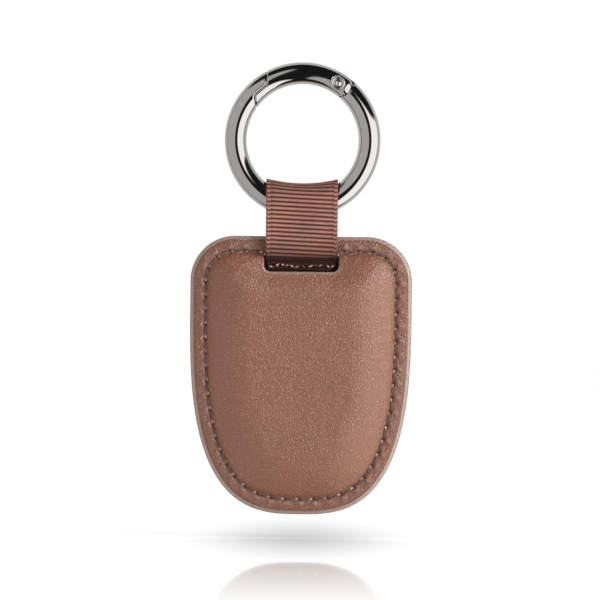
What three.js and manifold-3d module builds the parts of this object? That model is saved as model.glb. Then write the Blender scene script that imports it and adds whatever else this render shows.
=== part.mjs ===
// Key holder: a padded leather fob on a ribbon loop, hung from a ring with a spring gate.
// Millimetres, +Z up, the front faces -Y, the origin is the centre of the ring.
import * as THREE from "three";
import { mergeVertices } from "three/addons/utils/BufferGeometryUtils.js";
import Module from "manifold-3d";

const wasm = await Module();
wasm.setup();

// Ring wire
const RING_INNER_D = 25;
const WIRE_D = 4.9;
const WIRE_SIDES = 20;
const RING_STEPS = 64;

// Gate hinge: fork on the gate, tongue on the ring
const HINGE_DEG = 58.6;
const HEEL_REACH = 3.1;
const HEEL_STEPS = 6;
const GATE_GAP = 0.3;
const TONGUE_T = 1.6;
const TONGUE_HALF_W = 1.9;
const TONGUE_NOSE = 1.65;
const TONGUE_ROOT = 1.6;
const FORK_SIDE_GAP = 0.3;

// Half-lap latch at the free end of the gate
const LATCH_LIP_X = 8.2;
const LATCH_NOSE_X = 10.9;
const LATCH_DROP = 0.25;
const LATCH_NOSE_LEAN_DEG = 14;

// Hinge rivet
const RIVET_SHANK_D = 1.8;
const RIVET_HEAD_D = 3;
const RIVET_HEAD_T = 0.45;
const RIVET_GROOVE_D = 2;
const RIVET_GROOVE_DEPTH = 0.35;
const RIVET_BUTTON_D = 1.7;
const RIVET_BUTTON_DROP = 0.1;
const RIVET_ROUND = 0.15;
const RIVET_FIT = 0.15;
const PIN_SIDES = 24;

// Gate spring
const BORE_SIDES = 16;
const SPRING_WIRE_D = 0.3;
const SPRING_D = 1.5;
const SPRING_LENGTH = 4.8;
const SPRING_TURNS = 5.5;
const SPRING_FIT = 0.3;
const SPRING_OFFSET = 0.9;
const SPRING_TILT_DEG = 12;
const SPRING_SIDES = 5;
const SPRING_STEPS_PER_TURN = 8;

// Ribbon
const RIBBON_W = 16;
const RIBBON_T = 0.8;
const RIBBON_RING_GAP = 0.25;
const RIBBON_BRIDGE_GAP = 0.22;
const RIBBON_SAG = 1.05;
const RIBBON_FIN = 2.35;
const RIBBON_STATIONS = 8;
const RIBBON_TURN_STEPS = 10;

// Leather fob
const RING_TO_FOB = 4.1;
const FOB_W = 49.4;
const FOB_H = 62;
const FOB_CORNER_R = 10;
const FOB_WIDEST_DROP = 16;
const FOB_TAIL_FULLNESS = 2.88;
const CORNER_SHARE = 0.9;
const MIDDLE_SHARE = 0.47;
const TOP_STEPS = 5;
const CORNER_STEPS = 6;
const TAIL_STEPS = 15;
const LEATHER_T = 1;
const BOARD_T = 0.4;
const BOARD_INSET = 0.6;
const EDGE_ROUND = 0.7;
const PAD_RISE = 3.6;
const PAD_SHOULDER = 10;
const PAD_FIT = 0.3;
const PAD_LEAST = 0.1;
const PAD_INSET = 6;
const PAD_RINGS = 8;
const PAD_RING_SPREAD = 1.6;
const PAD_REACH_SHARE = 0.4;
const PAD_SLOT_ROOM = 1.2;

// Slot through the fob and the bridge of leather above it
const BRIDGE_H = 4;
const SLOT_H = 3.9;
const SLOT_SIDE_GAP = 0.3;
const SLOT_CORNER_R = 1.4;
const SLOT_TOP_CORNER_R = 0.4;
const SLOT_CORNER_STEPS = 4;
const SLOT_FLAT = 1;
const SLOT_SHOULDER = 5;
const SLOT_EDGE_SHARE = 0.75;

// Sewing
const SEAM_MARGIN = 3.4;
const STITCH_LENGTH = 3.2;
const THREAD_D = 0.5;
const THREAD_SIDES = 4;
const STITCH_STEPS = 4;
const CHANNEL_W = 0.8;
const CHANNEL_DEPTH = 0.45;
const THREAD_FIT = 0.1;

const ringInnerR = RING_INNER_D / 2;
const wireR = WIRE_D / 2;
const ringMidR = ringInnerR + wireR;
const ringOuterR = ringInnerR + WIRE_D;
const fobTop = -(ringOuterR + RING_TO_FOB);
const boardHalfT = BOARD_T / 2;
const rimHalfT = boardHalfT + LEATHER_T;
const seamIn = SEAM_MARGIN + CHANNEL_W / 2;
const seamOut = SEAM_MARGIN - CHANNEL_W / 2;
const channelFloor = rimHalfT - CHANNEL_DEPTH;
const slotHalfW = RIBBON_W / 2 + SLOT_SIDE_GAP;
const slotTop = fobTop - BRIDGE_H;
const slotFoot = slotTop - SLOT_H;
const bridgeZ = fobTop - BRIDGE_H / 2;
const rad = THREE.MathUtils.degToRad;

const steel = { color: 0x6f6d6b, roughness: 0.12, metalness: 1 };
const springSteel = { color: 0x8a8a88, roughness: 0.3, metalness: 1 };
const leather = { color: 0x8e6352, roughness: 0.55, metalness: 0 };
const ribbonCloth = { color: 0x90655a, roughness: 0.8, metalness: 0 };
const threadFibre = { color: 0x6b4438, roughness: 0.7, metalness: 0 };
const foam = { color: 0xd9d2c4, roughness: 0.95, metalness: 0 };
const board = { color: 0xa58d6f, roughness: 0.9, metalness: 0 };

// Solid of a closed geometry.
function solid(geometry) {
  const bare = geometry.clone();
  bare.deleteAttribute("normal");
  bare.deleteAttribute("uv");
  const merged = mergeVertices(bare, 1e-4);
  const mesh = new wasm.Mesh({
    numProp: 3,
    vertProperties: merged.attributes.position.array,
    triVerts: new Uint32Array(merged.index.array),
  });
  return new wasm.Manifold(mesh);
}

// Geometry of a finished solid.
function geometryOf(made) {
  const mesh = made.getMesh();
  const geometry = new THREE.BufferGeometry();
  geometry.setAttribute("position", new THREE.BufferAttribute(mesh.vertProperties, 3));
  geometry.setIndex(new THREE.BufferAttribute(mesh.triVerts, 1));
  geometry.computeVertexNormals();
  return geometry;
}

// Skin over rings of equal length, each counter-clockwise as seen from the next one.
// The flipped skin splits its quads along the other diagonal.
function loft(rings, looped = false, flipped = false) {
  const count = rings[0].length;
  const points = rings.flat();
  const faces = [];
  const bands = looped ? rings.length : rings.length - 1;
  for (let band = 0; band < bands; band += 1) {
    const low = band * count;
    const high = ((band + 1) % rings.length) * count;
    for (let i = 0; i < count; i += 1) {
      const next = (i + 1) % count;
      const corner = flipped ? low + next : low + i;
      faces.push(low + i, low + next, flipped ? high + i : high + next);
      faces.push(corner, high + next, high + i);
    }
  }
  if (!looped) {
    const lastRing = (rings.length - 1) * count;
    const firstMiddle = points.push(middleOf(rings[0])) - 1;
    const lastMiddle = points.push(middleOf(rings[rings.length - 1])) - 1;
    for (let i = 0; i < count; i += 1) {
      const next = (i + 1) % count;
      faces.push(firstMiddle, next, i);
      faces.push(lastMiddle, lastRing + i, lastRing + next);
    }
  }
  const geometry = new THREE.BufferGeometry().setFromPoints(points);
  geometry.setIndex(faces);
  geometry.computeVertexNormals();
  return geometry;
}

function middleOf(ring) {
  const sum = ring.reduce((total, point) => total.add(point), new THREE.Vector3());
  return sum.divideScalar(ring.length);
}

// Straight block over an outline drawn in X and Z, between two depths in Y.
function prism(outline, fromY, toY) {
  const shape = new THREE.Shape(outline);
  const depth = toY - fromY;
  const block = new THREE.ExtrudeGeometry(shape, { depth, bevelEnabled: false });
  return solid(block.rotateX(Math.PI / 2).translate(0, toY, 0));
}

// Upright cylinder along Y.
function pinSolid(radius, fromY, toY, x, z) {
  const bar = new THREE.CylinderGeometry(radius, radius, toY - fromY, PIN_SIDES);
  return solid(bar.translate(x, (fromY + toY) / 2, z));
}

// Circle round a path point, in the plane of two unit directions.
function circleRing(centre, across, up, radius, sides) {
  return Array.from({ length: sides }, (_, i) => {
    const angle = (2 * Math.PI * i) / sides;
    const point = centre.clone().addScaledVector(across, radius * Math.cos(angle));
    return point.addScaledVector(up, radius * Math.sin(angle));
  });
}

// Ring wire, hinge and latch

const hingeOut = new THREE.Vector2(Math.cos(rad(HINGE_DEG)), Math.sin(rad(HINGE_DEG)));
const hingeAlong = new THREE.Vector2(-hingeOut.y, hingeOut.x);
const hingeAt = hingeOut.clone().multiplyScalar(ringMidR);

// Point of the ring's plane, given along the wire and outwards from the hinge pin.
function fromHinge(along, out) {
  return hingeAt.clone().addScaledVector(hingeAlong, along).addScaledVector(hingeOut, out);
}

function wholeRing() {
  const depth = new THREE.Vector3(0, 1, 0);
  const rings = Array.from({ length: RING_STEPS }, (_, i) => {
    const angle = (2 * Math.PI * i) / RING_STEPS;
    const outward = new THREE.Vector3(Math.cos(angle), 0, Math.sin(angle));
    return circleRing(outward.clone().multiplyScalar(ringMidR), outward, depth, wireR, WIRE_SIDES);
  });
  return solid(loft(rings, true));
}

// Outline that holds the gate's share of the wire, grown by a gap on both of its ends.
function gateOutline(gap) {
  const heel = HEEL_REACH + gap;
  const beyond = 2 * WIRE_D;
  const points = [fromHinge(-heel, beyond)];
  for (let i = 0; i <= HEEL_STEPS; i += 1) {
    const turn = (Math.PI / 2) * (i / HEEL_STEPS);
    points.push(fromHinge(-heel * Math.cos(turn), -heel * Math.sin(turn)));
  }
  const lapR = ringMidR - LATCH_DROP + gap;
  const lipX = LATCH_LIP_X + gap;
  const noseX = LATCH_NOSE_X + gap;
  const noseZ = Math.sqrt(lapR ** 2 - noseX ** 2);
  points.push(new THREE.Vector2(noseZ * Math.tan(rad(LATCH_NOSE_LEAN_DEG)) - noseX, 0));
  points.push(new THREE.Vector2(-noseX, noseZ));
  points.push(new THREE.Vector2(-lipX, Math.sqrt(lapR ** 2 - lipX ** 2)));
  points.push(new THREE.Vector2(-lipX, 2 * ringOuterR));
  return points.reverse();
}

const depthBeyond = 2 * WIRE_D;
const forkHalfGap = TONGUE_T / 2 + FORK_SIDE_GAP;
const tongueSwing = Math.hypot(TONGUE_NOSE, TONGUE_HALF_W) + GATE_GAP;
const rivetSeatY = wireR - RIVET_HEAD_T;
const rivetHoleR = RIVET_SHANK_D / 2 + RIVET_FIT;

function tongueSolid() {
  const root = -(HEEL_REACH + GATE_GAP + TONGUE_ROOT);
  const points = [fromHinge(root, -TONGUE_HALF_W), fromHinge(TONGUE_NOSE, -TONGUE_HALF_W)];
  const noseStart = Math.acos(TONGUE_NOSE / TONGUE_HALF_W);
  for (let i = 0; i <= HEEL_STEPS; i += 1) {
    const turn = noseStart + (Math.PI / 2 - noseStart) * (i / HEEL_STEPS);
    points.push(fromHinge(TONGUE_HALF_W * Math.cos(turn), TONGUE_HALF_W * Math.sin(turn)));
  }
  points.push(fromHinge(root, TONGUE_HALF_W));
  return prism(points, -TONGUE_T / 2, TONGUE_T / 2);
}

function ringBody() {
  const wire = wholeRing();
  const rest = wire.subtract(prism(gateOutline(GATE_GAP), -depthBeyond, depthBeyond));
  const tongue = tongueSolid().intersect(wire);
  const hole = pinSolid(rivetHoleR, -depthBeyond, depthBeyond, hingeAt.x, hingeAt.y);
  return rest.add(tongue).subtract(hole);
}

// Spring axis: from the tongue's nose into the gate, tilted to follow the wire.
const springTilt = rad(SPRING_TILT_DEG);
const springAlong = hingeAlong.clone().rotateAround(new THREE.Vector2(), springTilt);
const springStart = fromHinge(TONGUE_NOSE + SPRING_FIT, -SPRING_OFFSET);

function springPoint(distance) {
  const flat = springStart.clone().addScaledVector(springAlong, distance);
  return new THREE.Vector3(flat.x, 0, flat.y);
}

function springBore() {
  const reach = SPRING_LENGTH + SPRING_FIT;
  const radius = SPRING_D / 2 + SPRING_FIT;
  const axis = new THREE.Vector3(springAlong.x, 0, springAlong.y);
  const across = new THREE.Vector3(0, 1, 0);
  const up = axis.clone().cross(across);
  const ends = [0, reach].map((along) => circleRing(springPoint(along), across, up, radius, BORE_SIDES));
  return solid(loft(ends));
}

function gateArm() {
  const arm = wholeRing().intersect(prism(gateOutline(0), -depthBeyond, depthBeyond));
  const slotStart = -(HEEL_REACH + WIRE_D);
  const slotOutline = [
    fromHinge(slotStart, -WIRE_D),
    fromHinge(tongueSwing, -WIRE_D),
    fromHinge(tongueSwing, WIRE_D),
    fromHinge(slotStart, WIRE_D),
  ];
  const slot = prism(slotOutline.reverse(), -forkHalfGap, forkHalfGap);
  const hole = pinSolid(rivetHoleR, -depthBeyond, depthBeyond, hingeAt.x, hingeAt.y);
  const seatR = RIVET_HEAD_D / 2 + RIVET_FIT;
  const seatY = rivetSeatY - RIVET_FIT;
  const frontSeat = pinSolid(seatR, -depthBeyond, -seatY, hingeAt.x, hingeAt.y);
  const backSeat = pinSolid(seatR, seatY, depthBeyond, hingeAt.x, hingeAt.y);
  return arm.subtract(slot).subtract(hole).subtract(frontSeat).subtract(backSeat).subtract(springBore());
}

function hingeRivet() {
  const shank = RIVET_SHANK_D / 2;
  const head = RIVET_HEAD_D / 2;
  const groove = RIVET_GROOVE_D / 2;
  const brim = (head + groove) / 2;
  const button = RIVET_BUTTON_D / 2;
  const crown = wireR - RIVET_BUTTON_DROP;
  const half = [
    [0, crown],
    [button / 2, crown - RIVET_BUTTON_DROP / 2],
    [button, wireR - RIVET_GROOVE_DEPTH],
    [groove, wireR - RIVET_ROUND / 2],
    [brim, wireR],
    [head, wireR - RIVET_ROUND],
    [head, rivetSeatY],
    [shank, rivetSeatY],
  ];
  const lower = half.map(([radius, y]) => [radius, -y]).reverse();
  const profile = [...half, ...lower].reverse().map(([radius, y]) => new THREE.Vector2(radius, y));
  return new THREE.LatheGeometry(profile, PIN_SIDES);
}

function gateSpring() {
  const coilR = (SPRING_D - SPRING_WIRE_D) / 2;
  const axis = new THREE.Vector3(springAlong.x, 0, springAlong.y);
  const across = new THREE.Vector3(0, 1, 0);
  const up = axis.clone().cross(across);
  const run = SPRING_LENGTH - SPRING_WIRE_D;
  const steps = SPRING_TURNS * SPRING_STEPS_PER_TURN;
  const rings = Array.from({ length: steps + 1 }, (_, i) => {
    const share = i / steps;
    const angle = 2 * Math.PI * SPRING_TURNS * share;
    const outward = across.clone().multiplyScalar(Math.cos(angle)).addScaledVector(up, Math.sin(angle));
    const centre = springPoint(SPRING_WIRE_D / 2 + run * share).addScaledVector(outward, coilR);
    return circleRing(centre, axis, outward, SPRING_WIRE_D / 2, SPRING_SIDES);
  });
  return loft(rings);
}

// Ribbon

const ringTurnR = wireR + RIBBON_RING_GAP;
const bridgeTurnR = Math.hypot(BRIDGE_H / 2, rimHalfT) + RIBBON_BRIDGE_GAP;
const ribbonSeatZ = RIBBON_RING_GAP - Math.sqrt(ringInnerR ** 2 - (RIBBON_W / 2) ** 2);

// Side view of the loop in Y and Z at one place across the ribbon, a set distance off its inner face.
function ribbonLoop(x, off) {
  const fall = RIBBON_SAG * (1 - (x / (RIBBON_W / 2)) ** 2);
  const topCentre = ribbonSeatZ - fall - ringTurnR;
  const points = [];
  for (let i = 0; i <= RIBBON_TURN_STEPS; i += 1) {
    const turn = (Math.PI * i) / RIBBON_TURN_STEPS;
    const radius = ringTurnR + off;
    points.push(new THREE.Vector3(x, radius * Math.cos(turn), topCentre + radius * Math.sin(turn)));
  }
  for (let i = 0; i <= RIBBON_TURN_STEPS; i += 1) {
    const turn = Math.PI + (Math.PI * i) / RIBBON_TURN_STEPS;
    const radius = bridgeTurnR + off;
    points.push(new THREE.Vector3(x, radius * Math.cos(turn), bridgeZ + radius * Math.sin(turn)));
  }
  return points;
}

const finTop = bridgeZ - bridgeTurnR - RIBBON_T / 2;
const finFoot = bridgeZ - bridgeTurnR - RIBBON_T - RIBBON_FIN;
const finSeamZ = finFoot + RIBBON_FIN / 2;
const finChannelDepth = THREAD_D / 2 + THREAD_FIT;

// Sewn tail of the two ribbon ends, its corners trimmed to follow the slot's.
function ribbonTail() {
  const side = RIBBON_W / 2;
  const corner = SLOT_CORNER_R;
  const shape = new THREE.Shape();
  shape.moveTo(-side + corner, finFoot);
  shape.lineTo(side - corner, finFoot);
  shape.absarc(side - corner, finFoot + corner, corner, -Math.PI / 2, 0);
  shape.lineTo(side, finTop);
  shape.lineTo(-side, finTop);
  shape.absarc(-side + corner, finFoot + corner, corner, Math.PI, 1.5 * Math.PI);
  return prism(shape.getPoints(SLOT_CORNER_STEPS), -RIBBON_T, RIBBON_T);
}

function ribbonBand() {
  const stations = Array.from(
    { length: RIBBON_STATIONS + 1 },
    (_, i) => RIBBON_W * (i / RIBBON_STATIONS - 0.5),
  );
  const outer = stations.map((x) => ribbonLoop(x, RIBBON_T));
  const inner = stations.map((x) => ribbonLoop(x, 0)).reverse();
  const band = solid(loft([...outer, ...inner], true));
  const channel = new THREE.BoxGeometry(2 * RIBBON_W, 2 * finChannelDepth, THREAD_D + 2 * THREAD_FIT);
  const channelSolid = solid(channel.translate(0, -RIBBON_T, finSeamZ));
  return band.add(ribbonTail()).subtract(channelSolid);
}

// Thread along a path: it dips at each needle hole and rises between holes.
function threadRings(curve, stitches, toSurface, lift, looped) {
  const steps = stitches * STITCH_STEPS;
  const stations = looped ? steps : steps + 1;
  return Array.from({ length: stations }, (_, i) => {
    const centre = curve.getPointAt(i / steps);
    const tangent = curve.getTangentAt(i / steps);
    const sideways = toSurface.clone().cross(tangent).normalize();
    const rise = lift * (0.5 - 0.5 * Math.cos((2 * Math.PI * i) / STITCH_STEPS));
    centre.addScaledVector(toSurface, rise);
    return circleRing(centre, sideways, toSurface, THREAD_D / 2, THREAD_SIDES);
  });
}

function ribbonSeamThread() {
  const reach = RIBBON_W / 2;
  const y = -(RIBBON_T - finChannelDepth + THREAD_D / 2 + THREAD_FIT);
  const path = new THREE.LineCurve3(
    new THREE.Vector3(-reach, y, finSeamZ),
    new THREE.Vector3(reach, y, finSeamZ),
  );
  const front = new THREE.Vector3(0, -1, 0);
  const stitches = Math.round(RIBBON_W / STITCH_LENGTH);
  return loft(threadRings(path, stitches, front, THREAD_D / 2, false));
}

// Fob outline: flat top, round corners, sides that run into a full round tail.
function fobOutline() {
  const halfW = FOB_W / 2;
  const half = [];
  for (let i = 0; i < TOP_STEPS; i += 1) {
    half.push([((halfW - FOB_CORNER_R) * i) / TOP_STEPS, 0]);
  }
  for (let i = 0; i <= CORNER_STEPS; i += 1) {
    const turn = (Math.PI / 2) * (1 - i / CORNER_STEPS);
    const x = halfW - FOB_CORNER_R + FOB_CORNER_R * Math.cos(turn);
    half.push([x, -FOB_CORNER_R + FOB_CORNER_R * Math.sin(turn)]);
  }
  const tailH = FOB_H - FOB_WIDEST_DROP;
  const power = 2 / FOB_TAIL_FULLNESS;
  for (let i = 0; i <= TAIL_STEPS; i += 1) {
    const turn = (Math.PI / 2) * (i / TAIL_STEPS);
    const x = halfW * Math.max(Math.cos(turn), 0) ** power;
    half.push([x, -FOB_WIDEST_DROP - tailH * Math.sin(turn) ** power]);
  }
  const mirrored = half.slice(1, -1).reverse().map(([x, z]) => [-x, z]);
  return [...half, ...mirrored].map(([x, z]) => new THREE.Vector2(x, fobTop + z));
}

const outline = fobOutline();
const inward = outline.map((_, i) => {
  const before = outline[(i + outline.length - 1) % outline.length];
  const after = outline[(i + 1) % outline.length];
  const along = after.clone().sub(before).normalize();
  return new THREE.Vector2(along.y, -along.x);
});
const innermost = FOB_CORNER_R * CORNER_SHARE;
const fobMiddle = new THREE.Vector2(0, fobTop - FOB_H * MIDDLE_SHARE);

// Outline drawn in by an inset; past the corner radius it closes in on the middle instead.
function insetOutline(inset) {
  const direct = Math.min(inset, innermost);
  const share = Math.max(0, (inset - innermost) / (FOB_W / 2 - innermost));
  return outline.map((point, i) => {
    const moved = point.clone().addScaledVector(inward[i], direct);
    return moved.lerp(fobMiddle, share);
  });
}

// Distance from the slot's edge, zero inside it.
function fromSlot(point) {
  const besideX = Math.max(0, Math.abs(point.x) - slotHalfW);
  const besideZ = Math.max(0, point.y - slotTop, slotFoot - point.y);
  return Math.hypot(besideX, besideZ);
}

// Share of the full padding at a distance from where it starts, rounded off like a cushion.
function cushion(distance, shoulder) {
  const share = THREE.MathUtils.clamp(distance / shoulder, 0, 1);
  return 1 - (1 - share) ** 2;
}

// Rise of the padding at an inset: none along the seam, and a set share of it at the slot's edge.
function padRise(point, inset, cover, slotShare) {
  const fromSeam = cushion(inset - seamIn - cover, PAD_SHOULDER);
  const besideSlot = cushion(fromSlot(point) - SLOT_FLAT - cover, SLOT_SHOULDER);
  return PAD_RISE * fromSeam * THREE.MathUtils.lerp(slotShare, 1, besideSlot);
}

function flatRing(inset, y) {
  return insetOutline(inset).map((point) => new THREE.Vector3(point.x, y, point.y));
}

function padRing(inset, y, cover, slotShare) {
  return insetOutline(inset).map((point) => {
    return new THREE.Vector3(point.x, y - padRise(point, inset, cover, slotShare), point.y);
  });
}

const padReach = FOB_W * PAD_REACH_SHARE - seamIn;
const padInsets = Array.from({ length: PAD_RINGS }, (_, i) => {
  return seamIn + padReach * ((i + 1) / PAD_RINGS) ** PAD_RING_SPREAD;
});
const deepest = padInsets[padInsets.length - 1];

const edgeStep = EDGE_ROUND * (1 - Math.SQRT1_2);

// Rounded outer edge of a leather layer, from its seam channel to its joint with the board.
function rimRings(side) {
  return [
    flatRing(seamIn, side * rimHalfT),
    flatRing(seamIn, side * channelFloor),
    flatRing(seamOut, side * channelFloor),
    flatRing(seamOut, side * rimHalfT),
    flatRing(EDGE_ROUND, side * rimHalfT),
    flatRing(edgeStep, side * (rimHalfT - edgeStep)),
    flatRing(0, side * (rimHalfT - EDGE_ROUND)),
    flatRing(0, side * boardHalfT),
  ];
}

function slotBlock(grow) {
  const halfW = slotHalfW + grow;
  const foot = SLOT_CORNER_R;
  const head = SLOT_TOP_CORNER_R;
  const low = slotFoot - grow;
  const high = slotTop + grow;
  const shape = new THREE.Shape();
  shape.moveTo(-halfW + foot, low);
  shape.lineTo(halfW - foot, low);
  shape.absarc(halfW - foot, low + foot, foot, -Math.PI / 2, 0);
  shape.absarc(halfW - head, high - head, head, 0, Math.PI / 2);
  shape.absarc(-halfW + head, high - head, head, Math.PI / 2, Math.PI);
  shape.absarc(-halfW + foot, low + foot, foot, Math.PI, 1.5 * Math.PI);
  return prism(shape.getPoints(SLOT_CORNER_STEPS), -depthBeyond, depthBeyond);
}

function frontPanel() {
  const face = [...padInsets].reverse().map((inset) => padRing(inset, -rimHalfT, 0, SLOT_EDGE_SHARE));
  const backing = padInsets.map((inset) => padRing(inset, -boardHalfT, LEATHER_T, 0));
  const rings = [...face, ...rimRings(-1), flatRing(seamIn, -boardHalfT), ...backing];
  return solid(loft(rings)).subtract(slotBlock(0));
}

function backPanel() {
  const rings = [
    flatRing(deepest, boardHalfT),
    flatRing(innermost, boardHalfT),
    ...rimRings(1).reverse(),
    flatRing(innermost, rimHalfT),
    flatRing(deepest, rimHalfT),
  ];
  return solid(loft(rings)).subtract(slotBlock(0));
}

function coreBoard() {
  const plate = prism(insetOutline(BOARD_INSET), -boardHalfT, boardHalfT);
  return plate.subtract(slotBlock(SLOT_SIDE_GAP));
}

function foamPad() {
  const insets = padInsets.filter((inset) => inset > PAD_INSET);
  const base = insets.map((inset) => flatRing(inset, -boardHalfT));
  const crown = insets.map((inset) => {
    const skin = padRing(inset, -boardHalfT, LEATHER_T, 0);
    const highest = -boardHalfT - PAD_LEAST;
    skin.forEach((point) => point.setY(Math.min(point.y + PAD_FIT, highest)));
    return skin;
  });
  const rings = [...crown.reverse(), ...base];
  return solid(loft(rings, false, true)).subtract(slotBlock(SLOT_FLAT + LEATHER_T + PAD_SLOT_ROOM));
}

function seamPath(y) {
  return new THREE.CatmullRomCurve3(flatRing(SEAM_MARGIN, y), true);
}

function perimeterThread(side) {
  const y = side * (channelFloor + THREAD_FIT + THREAD_D / 2);
  const path = seamPath(y);
  const stitches = Math.round(path.getLength() / STITCH_LENGTH);
  const toSurface = new THREE.Vector3(0, side, 0);
  return loft(threadRings(path, stitches, toSurface, CHANNEL_DEPTH / 2, true), true);
}

// Assembly

const keyHolder = new THREE.Group();

function add(name, shape, finish) {
  const geometry = shape.isBufferGeometry ? shape : geometryOf(shape);
  const mesh = new THREE.Mesh(geometry, new THREE.MeshStandardMaterial(finish));
  mesh.name = name;
  keyHolder.add(mesh);
  return mesh;
}

add("ring_body", ringBody(), steel);
add("gate", gateArm(), steel);
add("hinge_rivet", hingeRivet(), steel).position.set(hingeAt.x, 0, hingeAt.y);
add("gate_spring", gateSpring(), springSteel);
add("ribbon_loop", ribbonBand(), ribbonCloth);
add("ribbon_seam_thread", ribbonSeamThread(), threadFibre);
add("front_panel", frontPanel(), leather);
add("foam_pad", foamPad(), foam);
add("core_board", coreBoard(), board);
add("back_panel", backPanel(), leather);
add("needle_thread", perimeterThread(-1), threadFibre);
add("bobbin_thread", perimeterThread(1), threadFibre);

export default keyHolder;
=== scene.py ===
"""Key holder, dressed: a padded leather fob on a woven ribbon, hung from a ring with a spring gate.

Objects are in metres in the part's own frame: +Z up, the front faces -Y, the origin is the ring's centre.
The sizes held by the classes below are in millimetres.
"""

from __future__ import annotations

import logging
import math
from dataclasses import dataclass, field
from enum import Enum
from functools import reduce
from typing import Any, Sequence

import bmesh
import bpy
import numpy as np
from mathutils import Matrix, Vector
from mathutils.geometry import delaunay_2d_cdt
from mathutils.kdtree import KDTree

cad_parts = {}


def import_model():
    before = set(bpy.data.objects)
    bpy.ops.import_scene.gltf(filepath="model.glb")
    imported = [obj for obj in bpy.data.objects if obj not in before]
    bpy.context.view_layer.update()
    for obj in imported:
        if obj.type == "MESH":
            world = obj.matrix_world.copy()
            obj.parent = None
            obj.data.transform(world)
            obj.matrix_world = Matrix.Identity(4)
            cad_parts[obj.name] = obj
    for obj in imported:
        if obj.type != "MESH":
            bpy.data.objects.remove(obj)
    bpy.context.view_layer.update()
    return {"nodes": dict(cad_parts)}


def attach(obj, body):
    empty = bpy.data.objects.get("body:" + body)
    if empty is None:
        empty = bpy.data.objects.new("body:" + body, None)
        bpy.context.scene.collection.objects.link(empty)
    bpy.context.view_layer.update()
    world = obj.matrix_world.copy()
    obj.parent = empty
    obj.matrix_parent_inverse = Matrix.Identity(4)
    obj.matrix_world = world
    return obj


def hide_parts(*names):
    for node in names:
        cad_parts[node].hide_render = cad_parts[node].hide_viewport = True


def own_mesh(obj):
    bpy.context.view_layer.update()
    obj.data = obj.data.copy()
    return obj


LOG = logging.getLogger("key_holder")
MM = 0.001
THREAD_SIDES = 12
METAL_CREASE, LEATHER_CREASE, THREAD_CREASE = 38.0, 50.0, 70.0
CLOTH_MAP = "cloth"

Colour = tuple[float, float, float]
Value = Any
WHITE: Colour = (1.0, 1.0, 1.0)


class Side(Enum):
    """Face of the fob; the value is the sign of its Y."""

    FRONT = -1
    BACK = 1


class Carve(Enum):
    """How one solid works on another."""

    AWAY = "DIFFERENCE"
    KEEP = "INTERSECT"


# Points, loops and skins


def lengths_along(line: np.ndarray) -> np.ndarray:
    """Length from a line's first point to each of its points."""
    return np.concatenate([[0.0], np.cumsum(np.linalg.norm(np.diff(line, axis=0), axis=1))])


def spread(line: np.ndarray, place: np.ndarray) -> np.ndarray:
    """Points of a line at given lengths along it."""
    length = lengths_along(line)
    return np.stack([np.interp(place, length, line[:, k]) for k in range(line.shape[1])], -1)


def unit(vectors: np.ndarray) -> np.ndarray:
    """The same vectors, each of length one."""
    return vectors / np.linalg.norm(vectors, axis=-1, keepdims=True)


def full_turn(count: int) -> np.ndarray:
    """Angles spread evenly over a full turn, in radians."""
    return 2 * np.pi * np.arange(count) / count


def raised(flat: np.ndarray, y: np.ndarray | float) -> np.ndarray:
    """Points at places in X and Z, with their depths in Y."""
    return np.stack([flat[:, 0], np.broadcast_to(y, len(flat)), flat[:, 1]], -1)


def resampled(loop: np.ndarray, count: int) -> np.ndarray:
    """Spreads the points of a closed loop evenly along it.

    Args:
        loop: Points of the loop, one per row.
        count: Number of points wanted.

    Returns:
        The new points, starting at the loop's first one.
    """
    closed = np.vstack([loop, loop[:1]])
    return spread(closed, np.linspace(0.0, lengths_along(closed)[-1], count, endpoint=False))


def loop_length(loop: np.ndarray) -> float:
    """Length round a closed loop."""
    return float(np.linalg.norm(np.roll(loop, -1, 0) - loop, axis=1).sum())


def inset_loop(loop: np.ndarray, inset: float) -> np.ndarray:
    """Moves a counter-clockwise loop inwards by a distance.

    Args:
        loop: Points of the loop in X and Z.
        inset: Distance, smaller than the loop's tightest radius.

    Returns:
        The moved points.
    """
    along = unit(np.roll(loop, -1, 0) - np.roll(loop, 1, 0))
    return loop + inset * np.stack([-along[:, 1], along[:, 0]], -1)


def nearest_on_loop(points: np.ndarray, loop: np.ndarray) -> tuple[np.ndarray, np.ndarray]:
    """Finds the nearest spot of a closed loop for each point.

    Args:
        points: Points in X and Z.
        loop: Points of the loop, close together.

    Returns:
        The distances, and the places of the spots along the loop.
    """
    tree = KDTree(len(loop))
    for index, (x, z) in enumerate(loop.tolist()):
        tree.insert((x, z, 0.0), index)
    tree.balance()
    nearest = np.array([tree.find((x, z, 0.0))[1] for x, z in points.tolist()], int)
    step = np.roll(loop, -1, 0) - loop
    size = np.maximum(np.linalg.norm(step, axis=1), 1e-9)
    start = np.concatenate([[0.0], np.cumsum(size)[:-1]])
    gaps, places = [], []
    for first in (nearest, (nearest - 1) % len(loop)):
        offset = points - loop[first]
        share = np.clip((offset * step[first]).sum(-1) / size[first] ** 2, 0, 1)
        gaps.append(np.linalg.norm(offset - share[:, None] * step[first], axis=1))
        places.append(start[first] + share * size[first])
    ahead = gaps[0] <= gaps[1]
    return np.where(ahead, *gaps), np.where(ahead, *places)


def arc(centre: tuple[float, float], radius: float, start: float, end: float, steps: int) -> list[tuple[float, float]]:
    """Points of an arc, from one angle in degrees to another."""
    turn = np.radians(np.linspace(start, end, steps + 1))
    return list(zip(centre[0] + radius * np.cos(turn), centre[1] + radius * np.sin(turn)))


def cushion(distance: np.ndarray, shoulder: float) -> np.ndarray:
    """Share of the full padding at a distance from where it starts."""
    return 1 - (1 - np.clip(distance / shoulder, 0, 1)) ** 2


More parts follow.
